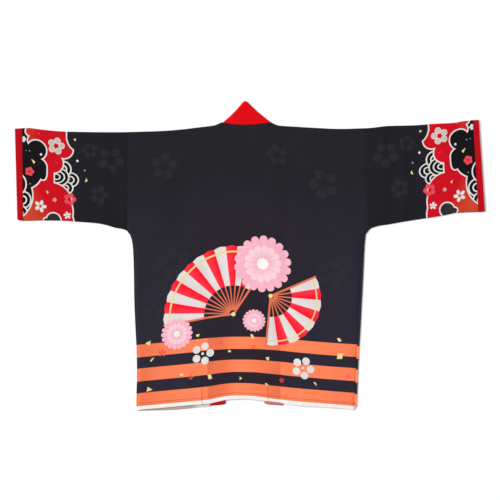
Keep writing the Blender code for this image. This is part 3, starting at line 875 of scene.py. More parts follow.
def cloth_piece(name, sheet, wall, material, tube=False, cut=(0.0, 0.0, 0.0)):
    """A piece of cloth from a grid of points. Its "OFBake" map spreads its flat cloth over a
    square. "print" holds where each point lies on the printed cloth, in metres, for a piece
    cut further across and up by the first two of cut, and turned by the third."""
    points, prints = sheet
    printed = prints + np.array(cut[:2])
    printed[..., 1] += cut[2] * prints[..., 0]
    corners, faces = grid_faces(*points.shape[:2], tube)
    piece = smooth_piece(name, points, faces, material)
    low, high = prints.min(axis=(0, 1)), prints.max(axis=(0, 1))
    for layer, where in (("print", printed * MM), ("OFBake", (prints - low) / (high - low))):
        corner_places = np.stack([where[a, b] for a, b in corners], axis=2)
        piece.data.uv_layers.new(name=layer).data.foreach_set("uv", corner_places.ravel())
    thick = piece.modifiers.new("cloth", "SOLIDIFY")
    thick.thickness = wall * MM
    thick.offset = 0.0
    return piece


def line_across(sheet, axis, value):
    """The line of points over a sheet where one of the print's coordinates has a value."""
    points, prints = sheet
    found = []
    for column in range(points.shape[1]):
        key, line = prints[:, column, axis], points[:, column]
        order = np.argsort(key, kind="stable")
        found.append([np.interp(value, key[order], line[order, k]) for k in range(3)])
    return np.array(found)


def along_line(line, spacing):
    """The same line with its points evenly spaced, and the distance of each from its start."""
    steps = np.linalg.norm(np.diff(line, axis=0), axis=1)
    length = np.concatenate([[0], np.cumsum(steps)])
    at = np.linspace(0, length[-1], max(2, round(length[-1] / spacing)))
    return np.stack([np.interp(at, length, line[:, k]) for k in range(3)], axis=1), at


def thread_mesh(name, strands, material):
    """One mesh of round threads. A strand is its points, its radius at each, and the direction
    out of the cloth."""
    ring = np.linspace(0, 2 * math.pi, THREAD_SIDES, endpoint=False)[None, :, None]
    vertices, faces, start = [], [], 0
    for points, radii, outward in strands:
        ahead = np.gradient(points, axis=0)
        ahead /= np.linalg.norm(ahead, axis=1, keepdims=True)
        sideways = np.cross(ahead, outward)
        sideways /= np.linalg.norm(sideways, axis=1, keepdims=True)
        lift = np.cross(sideways, ahead)
        spokes = np.cos(ring) * sideways[:, None] + np.sin(ring) * lift[:, None]
        vertices.append((points[:, None] + radii[:, None, None] * spokes).reshape(-1, 3))
        faces.append(start + grid_faces(len(points), THREAD_SIDES, True)[1])
        start += THREAD_SIDES * len(points)
    return smooth_piece(name, np.concatenate(vertices), np.concatenate(faces), material)


def stitch_row(line, outward, sizes, wall):
    """Strands of a row of stitches half sunk in cloth: each rises from it and dips back."""
    length, gap = sizes.stitch_length / MM, sizes.stitch_gap / MM
    radius = sizes.thread / MM / 2
    along, height, thickness = np.array(STITCH).T
    lift = (wall / 2 + radius * height)[:, None]
    fine, at = along_line(line, STITCH_SPACING)
    strands = []
    for k in range(int(at[-1] / (length + gap))):
        where = k * (length + gap) + length * along
        points = np.stack([np.interp(where, at, fine[:, c]) for c in range(3)], axis=1)
        strands.append((points + outward * lift, radius * thickness, outward))
    return strands


def seam_thread(line):
    """A strand that lies in the groove of a seam."""
    fine, at = along_line(line, SEAM_THREAD_SPACING)
    wobble = SEAM_THREAD_WOBBLE * np.sin(at * SEAM_THREAD_WOBBLES)
    points = fine + np.stack([wobble, wobble, np.full_like(at, -SEAM_THREAD_SINK)], axis=1)
    return points, np.full(len(at), SEAM_THREAD_RADIUS), UP


# ------------------------------------------------------------------------------------------------
# Materials
# ------------------------------------------------------------------------------------------------


class Value:
    """A number or colour that varies over a surface, with Python's arithmetic for numbers."""

    def __init__(self, paint, socket):
        self.paint, self.socket = paint, socket

    def maths(self, operation, *others, clamp=False, first=None):
        """A Math node on this value and others, or on a number and then this value."""
        inputs = (self, *others) if first is None else (first, self)
        return self.paint.node("ShaderNodeMath", {"operation": operation, "use_clamp": clamp}, inputs)

    def __add__(self, other):
        return self.maths("ADD", other)

    def __sub__(self, other):
        return self.maths("SUBTRACT", other)

    def __rsub__(self, other):
        return self.maths("SUBTRACT", first=other)

    def __mul__(self, other):
        return self.maths("MULTIPLY", other)

    def __truediv__(self, other):
        return self.maths("DIVIDE", other)

    def __mod__(self, other):
        return self.maths("FLOORED_MODULO", other)

    def __neg__(self):
        return self * -1.0

    def __abs__(self):
        return self.maths("ABSOLUTE")

    __radd__ = __add__
    __rmul__ = __mul__

    def least(self, other):
        return self.maths("MINIMUM", other)

    def most(self, other):
        return self.maths("MAXIMUM", other)

    def clamped(self):
        return self.maths("ADD", 0.0, clamp=True)

    def step(self, low, high):
        """0 at low, 1 at high and a straight climb between, whichever of them is greater."""
        return ((self - low) / (high - low)).clamped()


class Paint:
    """A material's node tree, and what is painted with it. Distances are in millimetres."""

    def __init__(self, name, roughness, sheen, specular):
        self.material = bpy.data.materials.new(name)
        self.material.use_nodes = True
        self.tree = self.material.node_tree
        self.shader = self.tree.nodes["Principled BSDF"]
        self.shader.inputs["Roughness"].default_value = roughness
        self.shader.inputs["Sheen Weight"].default_value = sheen
        self.shader.inputs["Sheen Roughness"].default_value = 0.45
        self.shader.inputs["Specular IOR Level"].default_value = specular

    def node(self, kind, settings, inputs, output=0):
        """Adds a node: its settings first, then its sockets, by position or by name. A value or
        a link goes in as it is. Returns one output, wrapped."""
        made = self.tree.nodes.new(kind)
        for name, value in settings.items():
            setattr(made, name, value)
        pairs = inputs.items() if isinstance(inputs, dict) else enumerate(inputs)
        for key, value in pairs:
            if isinstance(value, Value):
                self.tree.links.new(value.socket, made.inputs[key])
            else:
                made.inputs[key].default_value = value
        return Value(self, made.outputs[output])

    def vector(self, operation, inputs, output="Vector"):
        """A Vector Math node."""
        return self.node("ShaderNodeVectorMath", {"operation": operation}, inputs, output)

    def noise(self, place, look):
        """Clouds or wrinkles: about 0 to 1."""
        return self.node("ShaderNodeTexNoise", {}, {"Vector": place, **look})

    def split(self, vector):
        """The first two coordinates of a place."""
        outputs = self.node("ShaderNodeSeparateXYZ", {}, (vector,)).socket.node.outputs
        return Value(self, outputs[0]), Value(self, outputs[1])

    def cloth_place(self):
        """Where a point lies on the flat cloth, in metres."""
        return self.node("ShaderNodeUVMap", {"uv_map": "print"}, ())

    def colour(self, value):
        """What a colour socket takes, for a fixed colour or one that varies."""
        return value if isinstance(value, Value) else (*value, 1.0)

    def over(self, under, colour, mask):
        """A colour painted over another where the mask is 1."""
        inputs = {0: mask, 6: self.colour(under), 7: self.colour(colour)}
        return self.node("ShaderNodeMix", {"data_type": "RGBA"}, inputs, 2)

    def inside(self, distance, soft=EDGE_SOFTNESS):
        """1 where a signed distance is below zero, with a soft edge."""
        return (0.5 - distance / soft).clamped()

    def fill(self, under, colour, distance, strength=1.0, soft=EDGE_SOFTNESS):
        """A colour painted over another where a signed distance is below zero."""
        mask = self.inside(distance, soft)
        return self.over(under, colour, mask if strength == 1 else mask * strength)

    def line(self, under, colour, distance, half_width, soft, strength):
        """A line painted where a distance is near zero."""
        return self.fill(under, colour, abs(distance) - half_width, strength, soft)

    def finished(self, colour, height, strength):
        """The material, given its colour and a fine relief from a height in metres."""
        relief = {"Strength": strength, "Distance": 1.0, "Height": height}
        normal = self.node("ShaderNodeBump", {}, relief)
        self.tree.links.new(colour.socket, self.shader.inputs["Base Color"])
        self.tree.links.new(normal.socket, self.shader.inputs["Normal"])
        return self.material

    def apart(self, place, x, y):
        """Distance from a point."""
        return self.vector("DISTANCE", (place, (x, y, 0.0)), "Value")

    def discs(self, place, table):
        """Signed distance to the nearest of several discs: (x, y, radius)."""
        nearest = None
        for x, y, radius in table:
            disc = self.apart(place, x, y) - radius
            nearest = disc if nearest is None else nearest.least(disc)
        return nearest

    def turned(self, place, x, y, degrees):
        """Places about a motif's own centre, turned with it."""
        local = self.vector("SUBTRACT", (place, (x, y, 0.0)))
        inputs = {"Vector": local, "Angle": -math.radians(degrees)}
        return self.node("ShaderNodeVectorRotate", {"rotation_type": "Z_AXIS"}, inputs)

    def around(self, place, x, y, degrees):
        """Distance from a motif's centre, and the angle round it in radians."""
        local = self.turned(place, x, y, degrees)
        across, up = self.split(local)
        return self.vector("LENGTH", (local,), "Value"), up.maths("ARCTAN2", across)

    def petals(self, place, x, y, degrees, count):
        """Distance from a flower's centre, and the angle from the nearest petal's own axis."""
        out, angle = self.around(place, x, y, degrees)
        sector = 2 * math.pi / count
        return out, (angle + sector / 2) % sector - sector / 2


def srgb(red, green, blue):
    """A colour given as 0 to 255, as the linear values that shaders take."""
    found = []
    for value in (red, green, blue):
        v = value / 255
        found.append(v / 12.92 if v <= 0.04045 else ((v + 0.055) / 1.055) ** 2.4)
    return tuple(found)


def shade_of(colour, share):
    """A darker shade of a colour, or a brighter one where the share is above 1."""
    return tuple(min(1.0, c * share) for c in colour)


def plum_blossom(paint, place, x, y, radius, turn, petal=PLUM_PETAL, narrow=1.0):
    """Five round or narrow petals, as a signed distance."""
    out, angle = paint.petals(place, x, y, turn, 5)
    across = out * angle.maths("SINE") * narrow
    along = out * angle.maths("COSINE") - radius * (1 - petal)
    return (across * across + along * along).maths("SQRT") - radius * petal


def cherry_blossom(paint, place, x, y, radius, turn, slender, heart):
    """Five petals with a notched tip about an open heart, as a signed distance."""
    out, angle = paint.petals(place, x, y, turn, 5)
    side = abs(angle) * (5 / math.pi)  # 0 on the petal's axis, 1 between petals
    notch = (1.0 - side * NOTCH_SHARPNESS).most(0.0) * NOTCH_DEPTH
    petals = out - radius * (1.0 - notch - side * side * slender)
    return petals.most(radius * heart - out)


def star_lines(paint, place, x, y, radius, turn):
    """Five fine lines out from a blossom's heart."""
    out, angle = paint.petals(place, x, y, turn, 5)
    start, end = STAR_REACH
    return (abs(angle) * out - STAR_HALF_WIDTH).most(out - radius * end).most(radius * start - out)


def chrysanthemum(paint, ground, place, colours, x, y, radius, turn):
    """Rings of narrow round petals about a pale heart."""
    for share, count, colour in PETAL_RINGS:
        out, angle = paint.petals(place, x, y, turn * share, count)
        side = abs(angle) * (count / math.pi)
        reach = radius * share
        petals = paint.inside(out - reach * (1.0 - side * side * side * PETAL_DIP))
        ground = paint.over(ground, getattr(colours, colour), petals)
        line = (PETAL_LINE_HALF_WIDTH - (1.0 - side) * out * (math.pi / count)).clamped()
        line = line * petals * out.step(*(reach * part for part in PETAL_LINE_FROM))
        ground = paint.over(ground, colours.petal_line, line)
        lit = out.step(*(reach * part for part in PETAL_SHADE_TO))
        ground = paint.over(ground, colours.petal_line, petals * (1.0 - lit) * PETAL_SHADE)
    heart = paint.apart(place, x, y) - radius * CHRYSANTHEMUM_HEART
    return paint.fill(ground, colours.heart, heart)


def open_fan(paint, ground, place, colours, x, y, radius, turn, spread, pleats):
    """An open folding fan: pleats by turns red and white, ribs, guards and a pivot."""
    out, angle = paint.around(place, x, y, turn)
    half = math.radians(spread) / 2
    pleat = 2 * half / pleats
    counted = (angle + half) / pleat
    within = counted % 1.0
    to_fold = 0.5 - abs(within - 0.5)
    beyond = (abs(angle) - half) * out
    past_ribs = (out - radius * RIB_END).most(radius * RIB_START - out)
    ribs = to_fold * pleat * out - RIB_HALF_WIDTH
    ground = paint.fill(ground, colours.rib, ribs.most(past_ribs).most(beyond))
    odd = (counted * 0.5 % 1.0).step(0.495, 0.505)  # a sharp step halfway through two pleats
    paper = paint.over(colours.white, colours.red, odd)
    paper = paint.over(paper, colours.petal_line, within * PLEAT_SHADE)
    gold = abs(out - radius * GOLD_LINE) - radius * GOLD_HALF_WIDTH
    paper = paint.fill(paper, colours.gold, gold)
    leaf = (out - radius * (LEAF_END + PLEAT_BULGE * to_fold)).most(radius * LEAF_START - out)
    ground = paint.fill(ground, paper, leaf.most(beyond))
    guard = (abs(abs(angle) - half) * out - GUARD_HALF_WIDTH).most(out - radius)
    ground = paint.fill(ground, colours.rib, guard)
    return paint.fill(ground, colours.gold, paint.apart(place, x, y) - PIVOT_RADIUS)


def flakes(paint, ground, place, colours, table):
    """Scraps of gold leaf: leaning, tapering quarters."""
    for x, y, width, height, turn, lean, taper in table:
        across, up = paint.split(paint.turned(place, x, y, turn))
        half_width = (0.5 - up / height) * (taper * width / 2) + (1 - taper) * width / 2
        edge = (abs(across + up * lean) - half_width).most(abs(up) - height / 2)
        ground = paint.fill(ground, colours.gold, edge)
    return ground


def wave_scales(paint, ground, place, colours, centres):
    """Wave scales, each of black and white rings, painted one over another."""
    for x, y, radius, flatter in centres:
        local = paint.vector("SUBTRACT", (place, (x, y, 0.0)))
        local = paint.vector("MULTIPLY", (local, (1.0, flatter, 1.0)))
        out = paint.vector("LENGTH", (local,), "Value")
        ring = (radius - out) % WAVE_RING - WAVE_WHITE * WAVE_RING
        scale = paint.fill(colours.deep_black, colours.white, ring)
        ground = paint.fill(ground, scale, out - radius)
    return ground


def shadow_flowers(paint, ground, place, colours, table):
    """Big plum blossoms a shade off the black that they lie on."""
    for x, y, radius, turn in table:
        flower = plum_blossom(paint, place, x, y, radius, turn)
        ground = paint.fill(ground, colours.shadow, flower, SHADOW_STRENGTH, SHADOW_SOFTNESS)
    return ground


def stripes(paint, place, colours, orange, edge):
    """Black cloth with its stripes and the white edge below them."""
    across, up = paint.split(place)
    tone = paint.noise(place, TONE_CLOUDS)
    lower = (up + tone * DUSKY_DRIFT).step(*DUSKY_DOWN)
    ground = paint.over(colours.black, colours.dusky_black, lower)
    inner = (abs(across - WARM_MIDDLE) + tone * WARM_DRIFT).step(*WARM_ACROSS)
    ground = paint.over(ground, colours.warm_black, inner * up.step(*WARM_DOWN))
    for top, bottom in STRIPES:
        ground = paint.fill(ground, orange, abs(up - (top + bottom) / 2) - (top - bottom) / 2)
    return paint.fill(ground, edge, up - EDGE_WHITE)


def front_print(paint, place, colours):
    """The stripes, and a white edge painted a shade darker than the back's, with a painted shadow on
    part of the left front.
    """
    across, _ = paint.split(place)
    # Painted shadow on part of the left front's white edge.
    edge_shadow = across.step(*EDGE_SHADOW_FROM) * across.step(*reversed(EDGE_SHADOW_TO))
    edge = paint.over(colours.front_edge, colours.shaded_edge, edge_shadow)
    return stripes(paint, place, colours, colours.orange, edge)


def back_print(paint, place, colours):
    """The stripes with painted shade over the neck band, below the hem and towards the side seams, the
    blossoms, and the fans and flowers.
    """
    across, up = paint.split(place)
    stitched = up - (ROWS[-1][1] + HEM_DEPTH)
    shade_colour = colours.shaded_orange
    # Painted shade below the hem's stitches, where the hem lies double.
    orange = paint.fill(colours.orange, shade_colour, stitched, HEM_SHADE, HEM_SOFTNESS)
    # Painted shade towards the side seams.
    for start, seam, strength in SIDE_SHADE:
        orange = paint.over(orange, shade_colour, across.step(start, seam) * strength)
    # Painted shade where the neck band lies beneath the thin cloth.
    for edge, deepest, end, strength in SHADE_OVER_BAND:
        beyond = (across - edge) * math.copysign(1.0, edge)
        mask = paint.inside(beyond, BAND_SHADE_SOFTNESS) * across.step(end, deepest) * strength
        orange = paint.over(orange, shade_colour, mask)
    ground = stripes(paint, place, colours, orange, colours.white_edge)
    # The row of stitches is painted as a dark line: painted shade in its groove.
    ground = paint.line(ground, colours.black, stitched, *HEM_LINE)
    ground = shadow_flowers(paint, ground, place, colours, SHADOW_PLUMS)
    for x, y, radius, turn in BIG_PLUMS:
        petals = plum_blossom(paint, place, x, y, radius, turn)
        heart = paint.apart(place, x, y) - radius * PLUM_HEART
        ground = paint.fill(ground, colours.white, petals.least(heart))
    for *where, strength in SMALL_BLOSSOMS:
        blossom = cherry_blossom(paint, place, *where, SMALL_SLENDER, SMALL_HEART)
        ground = paint.fill(ground, colours.coral, blossom, strength)
    ground = flakes(paint, ground, place, colours, HEM_FLAKES)
    for fan in FANS:
        ground = open_fan(paint, ground, place, colours, *fan)
    for flower in CHRYSANTHEMUMS:
        ground = chrysanthemum(paint, ground, place, colours, *flower)
    return ground


def sleeve_clouds(paint, ground, place, colours):
    """A red cloud that reaches out from the cuff, with a black one and wave scales in it."""
    along, down = paint.split(place)
    red = (along - CLOUD_BAND).most(down - CLOUD[0][1]).least(along - CLOUD_WAIST)
    red = red.least(paint.discs(place, CLOUD)).most(-paint.discs(place, CLOUD_BITES))
    ground = paint.fill(ground, colours.white, red - OUTLINE)
    off = (down - GLOW_DOWN).most((GLOW_DOWN - down) * GLOW_GENTLER)
    glow = (along - off * GLOW_SLOPE).step(*GLOW_ALONG)
    cloud = paint.over(colours.print_red, colours.print_orange, glow)
    ground = paint.fill(ground, cloud, red)
    bumps = paint.discs(place, FOLD_BUMPS)
    ground = paint.fill(ground, colours.white, bumps)
    ground = paint.fill(ground, colours.shadow, bumps + OUTLINE)
    strip = (along - CUFF_STRIP[0]).most(down - CUFF_STRIP[1])
    near = strip.most(-paint.discs(place, CUFF_BITES)).least(paint.discs(place, CUFF_CLOUD))
    ground = paint.fill(ground, colours.white, near)
    scales = wave_scales(paint, colours.deep_black, place, colours, CUFF_WAVES)
    return paint.fill(ground, scales, near + OUTLINE)


def sleeve_print(paint, place, colours):
    """The clouds, and scattered gold flakes, dots and blossoms."""
    ground = shadow_flowers(paint, colours.sleeve_black, place, colours, SLEEVE_SHADOWS)
    ground = wave_scales(paint, ground, place, colours, FAR_WAVES)
    ground = sleeve_clouds(paint, ground, place, colours)
    ground = flakes(paint, ground, place, colours, SLEEVE_FLAKES)
    for colour, strength, dots in SLEEVE_DOTS:
        ground = paint.fill(ground, getattr(colours, colour), paint.discs(place, dots), strength)
    for *where, rim, inside in SLEEVE_PLUMS:
        flower = plum_blossom(paint, place, *where)
        ground = paint.fill(ground, getattr(colours, rim), flower)
        ground = paint.fill(ground, getattr(colours, inside), flower + PLUM_RIM)
    heart = OPEN_HEART - paint.apart(place, *OPEN_PLUM[:2])
    flower = plum_blossom(paint, place, *OPEN_PLUM).most(heart)
    ground = paint.fill(ground, colours.coral, flower)
    flower = plum_blossom(paint, place, *NARROW_PLUM, NARROWNESS)
    ground = paint.fill(ground, colours.white, flower)
    ground = paint.fill(ground, colours.cuff, star_lines(paint, place, *STAR))
    for *where, slender, colour in SLEEVE_BLOSSOMS:
        blossom = cherry_blossom(paint, place, *where, slender, SLEEVE_HEART)
        ground = paint.fill(ground, getattr(colours, colour), blossom)
    return ground


def cloth_material(name, draw, given, roughness, specular, weave, tone):
    """Cloth with what is drawn on it, and its own surface over that: patches where the tone
    differs a little, the weave and fine wrinkles."""
    paint = Paint(name, roughness, sheen=0.02, specular=specular)
    place = paint.cloth_place()
    drawn = draw(paint, paint.vector("SCALE", {"Vector": place, "Scale": 1 / MM}), given)
    shade = paint.noise(place, PATCHES) * (2 * tone) + (1.0 - tone)
    grey = paint.node("ShaderNodeCombineColor", {}, (shade, shade, shade))
    settings = {"data_type": "RGBA", "blend_type": "MULTIPLY"}
    toned = paint.node("ShaderNodeMix", settings, {0: 1.0, 6: drawn, 7: grey}, 2)
    across, up = paint.split(place)
    threads = 2 * math.pi / WEAVE_SPACING
    warp, weft = (across * threads).maths("SINE"), (up * threads).maths("SINE")
    height = warp * weft * (WEAVE_HEIGHT * weave) + paint.noise(place, WRINKLES) * WRINKLE_HEIGHT
    return paint.finished(toned, height, strength=0.35)


def printed_cloth(name, draw, colours):
    """Thin printed cloth."""
    return cloth_material(name, draw, colours, roughness=0.85, specular=0.05, weave=1.0, tone=0.1)


def plain_cloth(name, draw, colour):
    """Stouter cloth of one colour."""
    given = tuple(colour)
    return cloth_material(name, draw, given, roughness=0.82, specular=0.06, weave=1.4, tone=0.05)


def band_shades(length, pale):
    """What is drawn on the neck band: a painted highlight along its sewn edge, and its paler right
    end.
    """

    def draw(paint, place, red):
        along, across = paint.split(place)
        (width, width_soft), (end, end_soft) = HIGHLIGHT_EDGE, PALE_END
        # Painted highlight: the band brighter along its sewn edge.
        shaded = paint.fill(red, shade_of(red, HIGHLIGHT_SHARE), across - width, soft=width_soft)
        return paint.fill(shaded, pale, length - end - along, soft=end_soft)

    return draw


def stitch_groove_shade(paint, place, red):
    """A painted shade line along the groove where the cuff's topstitching draws it in."""
    along, _ = paint.split(place)
    return paint.line(red, shade_of(red, CUFF_LINE_SHADE), along - CUFF_STITCH, *CUFF_LINE)


def thread_material(name, colour):
    """Twisted thread: fine slanting lines round it."""
    paint = Paint(name, roughness=0.6, sheen=0.1, specular=0.35)
    across, up = paint.split(paint.node("ShaderNodeTexCoord", {}, (), "Object"))
    twist = ((across + up) * (2 * math.pi / TWIST_SPACING)).maths("SINE") * 0.5 + 0.5
    # Painted shade: the grooves of the twist, where its relief is low, are painted darker.
    shaded = paint.over(shade_of(colour, TWIST_SHADE), tuple(colour), twist)
    return paint.finished(shaded, twist * TWIST_HEIGHT, strength=0.3)


# ------------------------------------------------------------------------------------------------
# What a user may change
# ------------------------------------------------------------------------------------------------


def length_property(name, default, description):
    return FloatProperty(
        name=name, default=default, description=description, min=0.0, unit="LENGTH", precision=5
    )


def colour_property(name, default, description):
    return FloatVectorProperty(
        name=name, default=srgb(*default), description=description, subtype="COLOR", min=0, max=1
    )


class CoatSizes(bpy.types.PropertyGroup):
    relief: FloatProperty(
        name="Fold height", default=1.0, min=0.0, max=3.0, subtype="FACTOR",
        description="How strongly the folds and creases stand out",
    )
    pucker: length_property("Gathers", 0.00016, "Height of the gathers beside a seam")
    thread: length_property("Thread", 0.0005, "Thickness of the sewing thread")
    stitch_length: length_property("Stitch", 0.0028, "Length of a stitch")
    stitch_gap: length_property("Stitch gap", 0.0003, "Gap between two stitches")


class CoatColours(bpy.types.PropertyGroup):
    black: colour_property("Black", (34, 32, 38), "Ground of the print at the shoulders")
    dusky_black: colour_property("Dusky black", (42, 39, 51), "Ground of the print lower down")
    warm_black: colour_property("Warm black", (41, 34, 43), "Ground of the print at the centre")
    sleeve_black: colour_property("Sleeve black", (30, 29, 35), "Ground of the sleeves")
    deep_black: colour_property("Deep black", (20, 18, 21), "Black clouds and wave scales")
    shadow: colour_property("Shadow", (46, 44, 49), "Faint flowers on the black")
    orange: colour_property("Orange", (250, 127, 86), "Stripes")
    # Painted shade: the stripes' darker colour over the neck band, below the hem's stitches and
    # towards the side seams.
    shaded_orange: colour_property("Deep orange", (229, 112, 74), "Stripes over the neck band")
    white_edge: colour_property("White edge", (235, 231, 226), "Unprinted edge of the back")
    # Painted shade: the fronts' white edge is a shade darker than the back's.
    front_edge: colour_property("Front edge", (222, 216, 211), "Unprinted edge of the right front")
    # Painted shadow: the left front's white edge in shade.
    shaded_edge: colour_property("Dull edge", (178, 156, 143), "Unprinted edge of the left front")
    white: colour_property("White", (219, 216, 213), "White of the motifs")
    blush: colour_property("Blush", (198, 180, 175), "Inside of the pale plum blossoms")
    red: colour_property("Red", (247, 12, 40), "Red of the fans")
    pink: colour_property("Pink", (239, 176, 193), "Outer petals")
    pale_pink: colour_property("Pale pink", (243, 200, 211), "Inner petals")
    petal_line: colour_property("Petal line", (215, 128, 152), "Lines between petals")
    heart: colour_property("Heart", (238, 232, 226), "Hearts of the big flowers")
    coral: colour_property("Coral", (224, 72, 84), "Small blossoms")
    gold: colour_property("Gold", (226, 208, 134), "Flakes and fan trim")
    rib: colour_property("Ribs", (222, 112, 82), "Ribs of the fans")
    print_red: colour_property("Cloud red", (194, 14, 30), "Clouds on the sleeves")
    print_orange: colour_property("Cloud orange", (196, 68, 42), "Clouds by the cuffs")
    band: colour_property("Neck band", (214, 5, 17), "Cloth of the neck band")
    # The band's right end is paler.
    pale_band: colour_property("Faded band", (222, 116, 120), "Right end of the neck band")
    cuff: colour_property("Cuffs", (181, 7, 24), "Cloth of the cuffs")


class CoatStudio(bpy.types.PropertyGroup):
    camera_height: length_property("Camera height", 3.2, "Height of the camera above the table")
    view_width: length_property("View width", 1.4, "How much the camera sees from side to side")
    view_centre: FloatVectorProperty(
        name="View centre", default=(0.0003, 0.0167), size=2, unit="LENGTH",
        description="The point of the table under the camera",
    )
    key_light: FloatProperty(
        name="Key light", default=3.8, description="Strength of the slanting soft light"
    )
    key_height: FloatProperty(
        name="Key height", default=math.radians(28), subtype="ANGLE",
        description="How high the slanting light stands above the table",
    )
    key_turn: FloatProperty(
        name="Key direction", default=math.radians(158), subtype="ANGLE",
        description="Where round the coat the light comes from",
    )
    key_softness: FloatProperty(
        name="Key softness", default=math.radians(30), subtype="ANGLE",
        description="How wide the slanting light looks from the table",
    )
    fill_light: FloatProperty(
        name="Fill light", default=0.55, description="Strength of the light from all round"
    )
    floor: colour_property("Floor", (250, 250, 250), "Colour of the table")


# ------------------------------------------------------------------------------------------------
# Operators
# ------------------------------------------------------------------------------------------------


def declare(piece, sheet, node, with_pieces=(), round_it=False):
    """Attaches a piece of cloth and its threads to the frame's body, and hides the solid it stands
    for. The cut of what shows of it is worked out but not used.
    """
    points, prints = sheet
    if round_it:
        points = np.concatenate([points, points[:, :1]], axis=1)
    a, b = points[:-1, :-1] - points[1:, 1:], points[:-1, 1:] - points[1:, :-1]
    area = float(np.linalg.norm(np.cross(a, b), axis=-1).sum() / 2) * MM * MM
    across, down = (prints.max(axis=(0, 1)) - prints.min(axis=(0, 1))) * MM
    if round_it:
        down *= 2
    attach(piece, BODY)
    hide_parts(node)
    for thread in with_pieces:
        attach(thread, BODY)
    width = max(across, area / down)


def dark_thread(colours):
    """The thread of the hems and seams, whose material is made when it is first asked for."""
    return bpy.data.materials.get("black_thread") or thread_material("black_thread", colours.black)


class COAT_OT_fronts(bpy.types.Operator):
    """Make both front panels, with their hems and the threads of the hems"""

    bl_idname = "coat.fronts"
    bl_label = "Front panels"

    def execute(self, context):
        sizes, colours = context.scene.coat_sizes, context.scene.coat_colours
        material = printed_cloth("front_print", front_print, colours)
        for side in SIDES:
            sheet = front_sheet(side)
            piece = cloth_piece(f"front_panel_{side}", sheet, WALL, material)
            prints = sheet[1][:, :, 1]
            inner = line_across(sheet, 1, prints.min() + HEM_STITCH)
            outer = line_across(sheet, 1, prints[-1 - HEM_ROWS].min() + HEM_DEPTH)
            strands = stitch_row(inner, UP, sizes, WALL) + stitch_row(outer, -UP, sizes, WALL)
            hem = thread_mesh(f"front_hem_thread_{side}", strands, dark_thread(colours))
            declare(piece, sheet, f"front_{side}", with_pieces=[hem])
        return {"FINISHED"}


class COAT_OT_back(bpy.types.Operator):
    """Make the back panel, with its print, its hem and the threads of its seams"""

    bl_idname = "coat.back"
    bl_label = "Back panel"

    def execute(self, context):
        sizes, colours = context.scene.coat_sizes, context.scene.coat_colours
        sheet = back_sheet(sizes)
        material = printed_cloth("back_print", back_print, colours)
        piece = cloth_piece("back_panel", sheet, WALL, material)
        hem_line = line_across(sheet, 1, ROWS[-1][1] + HEM_DEPTH)
        stitches = stitch_row(hem_line, UP, sizes, WALL)
        threads = [thread_mesh("back_hem_thread", stitches, dark_thread(colours))]
        points, half = sheet[0], SEAM_GAP / 2
        left, right = points[:-HEM_ROWS, 0], points[:-HEM_ROWS, -1]
        seams = [points[0] + (0.0, half, 0.0), left - (half, 0.0, 0.0), right + (half, 0.0, 0.0)]
        strands = [seam_thread(line) for line in seams]
        threads.append(thread_mesh("back_seam_thread", strands, dark_thread(colours)))
        declare(piece, sheet, "back", threads)
        return {"FINISHED"}


class COAT_OT_sleeves(bpy.types.Operator):
    """Make both sleeves"""

    bl_idname = "coat.sleeves"
    bl_label = "Sleeves"

    def execute(self, context):
        sizes, colours = context.scene.coat_sizes, context.scene.coat_colours
        material = printed_cloth("sleeve_print", sleeve_print, colours)
        for side in SIDES:
            sheet = tube_sheet(SLEEVES[side], LOWER, UPPER, WALL, sizes.relief, sizes.pucker / MM)
            cut = RIGHT_SLEEVE_CUT if side == "right" else (0.0, 0.0, 0.0)
            piece = cloth_piece(f"sleeve_cloth_{side}", sheet, WALL, material, tube=True, cut=cut)
            declare(piece, sheet, f"sleeve_{side}", round_it=True)
        return {"FINISHED"}


class COAT_OT_cuffs(bpy.types.Operator):
    """Make both cuffs, each with its row of topstitching"""

    bl_idname = "coat.cuffs"
    bl_label = "Cuffs"

    def execute(self, context):
        sizes, colours = context.scene.coat_sizes, context.scene.coat_colours
        material = plain_cloth("cuff_cloth", stitch_groove_shade, colours.cuff)
        thread = thread_material("red_thread", shade_of(colours.cuff, CUFF_THREAD_SHADE))
        for side in SIDES:
            sheet = tube_sheet(CUFFS[side], CUFF_LOWER, CUFF_UPPER, DOUBLED, stitched=CUFF_STITCH)
            piece = cloth_piece(f"cuff_cloth_{side}", sheet, DOUBLED, material, tube=True)
            loop = line_across(sheet, 0, CUFF_STITCH)
            half = len(loop) // 2
            strands = stitch_row(loop[half:], UP, sizes, DOUBLED)
            strands += stitch_row(loop[: half - ARC_STEPS], -UP, sizes, DOUBLED)
            row = thread_mesh(f"cuff_thread_{side}", strands, thread)
            declare(piece, sheet, f"cuff_{side}", with_pieces=[row], round_it=True)
        return {"FINISHED"}


class COAT_OT_band(bpy.types.Operator):
    """Make the neck band, from its peak down both fronts"""

    bl_idname = "coat.band"
    bl_label = "Neck band"

    def execute(self, context):
        colours = context.scene.coat_colours
        sheet = band_sheet()
        shades = band_shades(float(sheet[1][..., 0].max()), colours.pale_band)
        material = plain_cloth("band_cloth", shades, colours.band)
        piece = cloth_piece("band", sheet, DOUBLED, material)
        declare(piece, sheet, "neck_band")
        return {"FINISHED"}


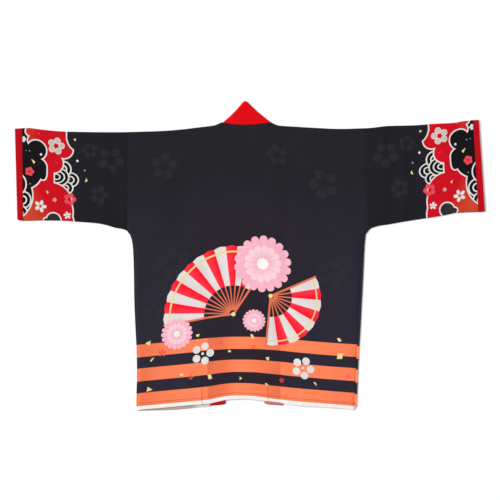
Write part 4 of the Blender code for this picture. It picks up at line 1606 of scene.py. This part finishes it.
class COAT_OT_stage(bpy.types.Operator):
    """Make the table, the soft lights and the camera above it"""

    bl_idname = "coat.stage"
    bl_label = "Table, lights and camera"

    def execute(self, context):
        scene, studio = context.scene, context.scene.coat_studio
        mesh = bpy.data.meshes.new("table")
        signs = ((-1, -1), (1, -1), (1, 1), (-1, 1))
        corners = [(x * TABLE_REACH, y * TABLE_REACH, 0.0) for x, y in signs]
        mesh.from_pydata(corners, [], [(0, 1, 2, 3)])
        paint = Paint("table", roughness=0.9, sheen=0.0, specular=0.5)
        paint.shader.inputs["Base Color"].default_value = (*studio.floor, 1.0)
        mesh.materials.append(paint.material)
        table = bpy.data.objects.new("table", mesh)
        scene.collection.objects.link(table)

        world = bpy.data.worlds.new("studio")
        world.use_nodes = True
        background = world.node_tree.nodes["Background"]
        background.inputs["Color"].default_value = (1.0, 1.0, 1.0, 1.0)
        background.inputs["Strength"].default_value = studio.fill_light
        scene.world = world

        light = bpy.data.lights.new("window", "SUN")
        light.energy, light.angle = studio.key_light, studio.key_softness
        window = bpy.data.objects.new("window", light)
        level, up = math.cos(studio.key_height), math.sin(studio.key_height)
        turn = studio.key_turn
        ray = Vector((-level * math.cos(turn), -level * math.sin(turn), -up))
        window.rotation_euler = ray.to_track_quat("-Z", "Y").to_euler()
        scene.collection.objects.link(window)

        lens = bpy.data.cameras.new("camera")
        lens.lens = lens.sensor_width * studio.camera_height / studio.view_width
        camera = bpy.data.objects.new("camera", lens)
        camera.location = (*studio.view_centre, studio.camera_height)
        scene.collection.objects.link(camera)
        scene.camera = camera
        scene.view_settings.view_transform = "Standard"
        return {"FINISHED"}


class COAT_PT_panel(bpy.types.Panel):
    """Sizes, colours and steps of the coat"""

    bl_idname = "COAT_PT_panel"
    bl_label = "Happi coat"
    bl_space_type = "VIEW_3D"
    bl_region_type = "UI"
    bl_category = "Coat"

    def draw(self, context):
        layout = self.layout
        for group in (context.scene.coat_sizes, context.scene.coat_colours, context.scene.coat_studio):
            box = layout.box()
            for name in group.bl_rna.properties.keys():
                if name not in ("rna_type", "name"):
                    box.prop(group, name)
        for operator in STEPS:
            layout.operator(operator.bl_idname)


STEPS = (
    COAT_OT_stage, COAT_OT_fronts, COAT_OT_band, COAT_OT_back, COAT_OT_sleeves, COAT_OT_cuffs
)
GROUPS = {"coat_sizes": CoatSizes, "coat_colours": CoatColours, "coat_studio": CoatStudio}


def register():
    for shown in (*GROUPS.values(), *STEPS, COAT_PT_panel):
        bpy.utils.register_class(shown)
    for name, group in GROUPS.items():
        setattr(bpy.types.Scene, name, PointerProperty(type=group))


def unregister():
    for name in GROUPS:
        delattr(bpy.types.Scene, name)
    for shown in (COAT_PT_panel, *reversed(STEPS), *reversed(GROUPS.values())):
        bpy.utils.unregister_class(shown)


def main():
    register()
    bpy.ops.coat.stage()
    bpy.ops.coat.fronts()
    bpy.ops.coat.band()
    bpy.ops.coat.back()
    bpy.ops.coat.sleeves()
    bpy.ops.coat.cuffs()


if __name__ == "__main__":
    main()
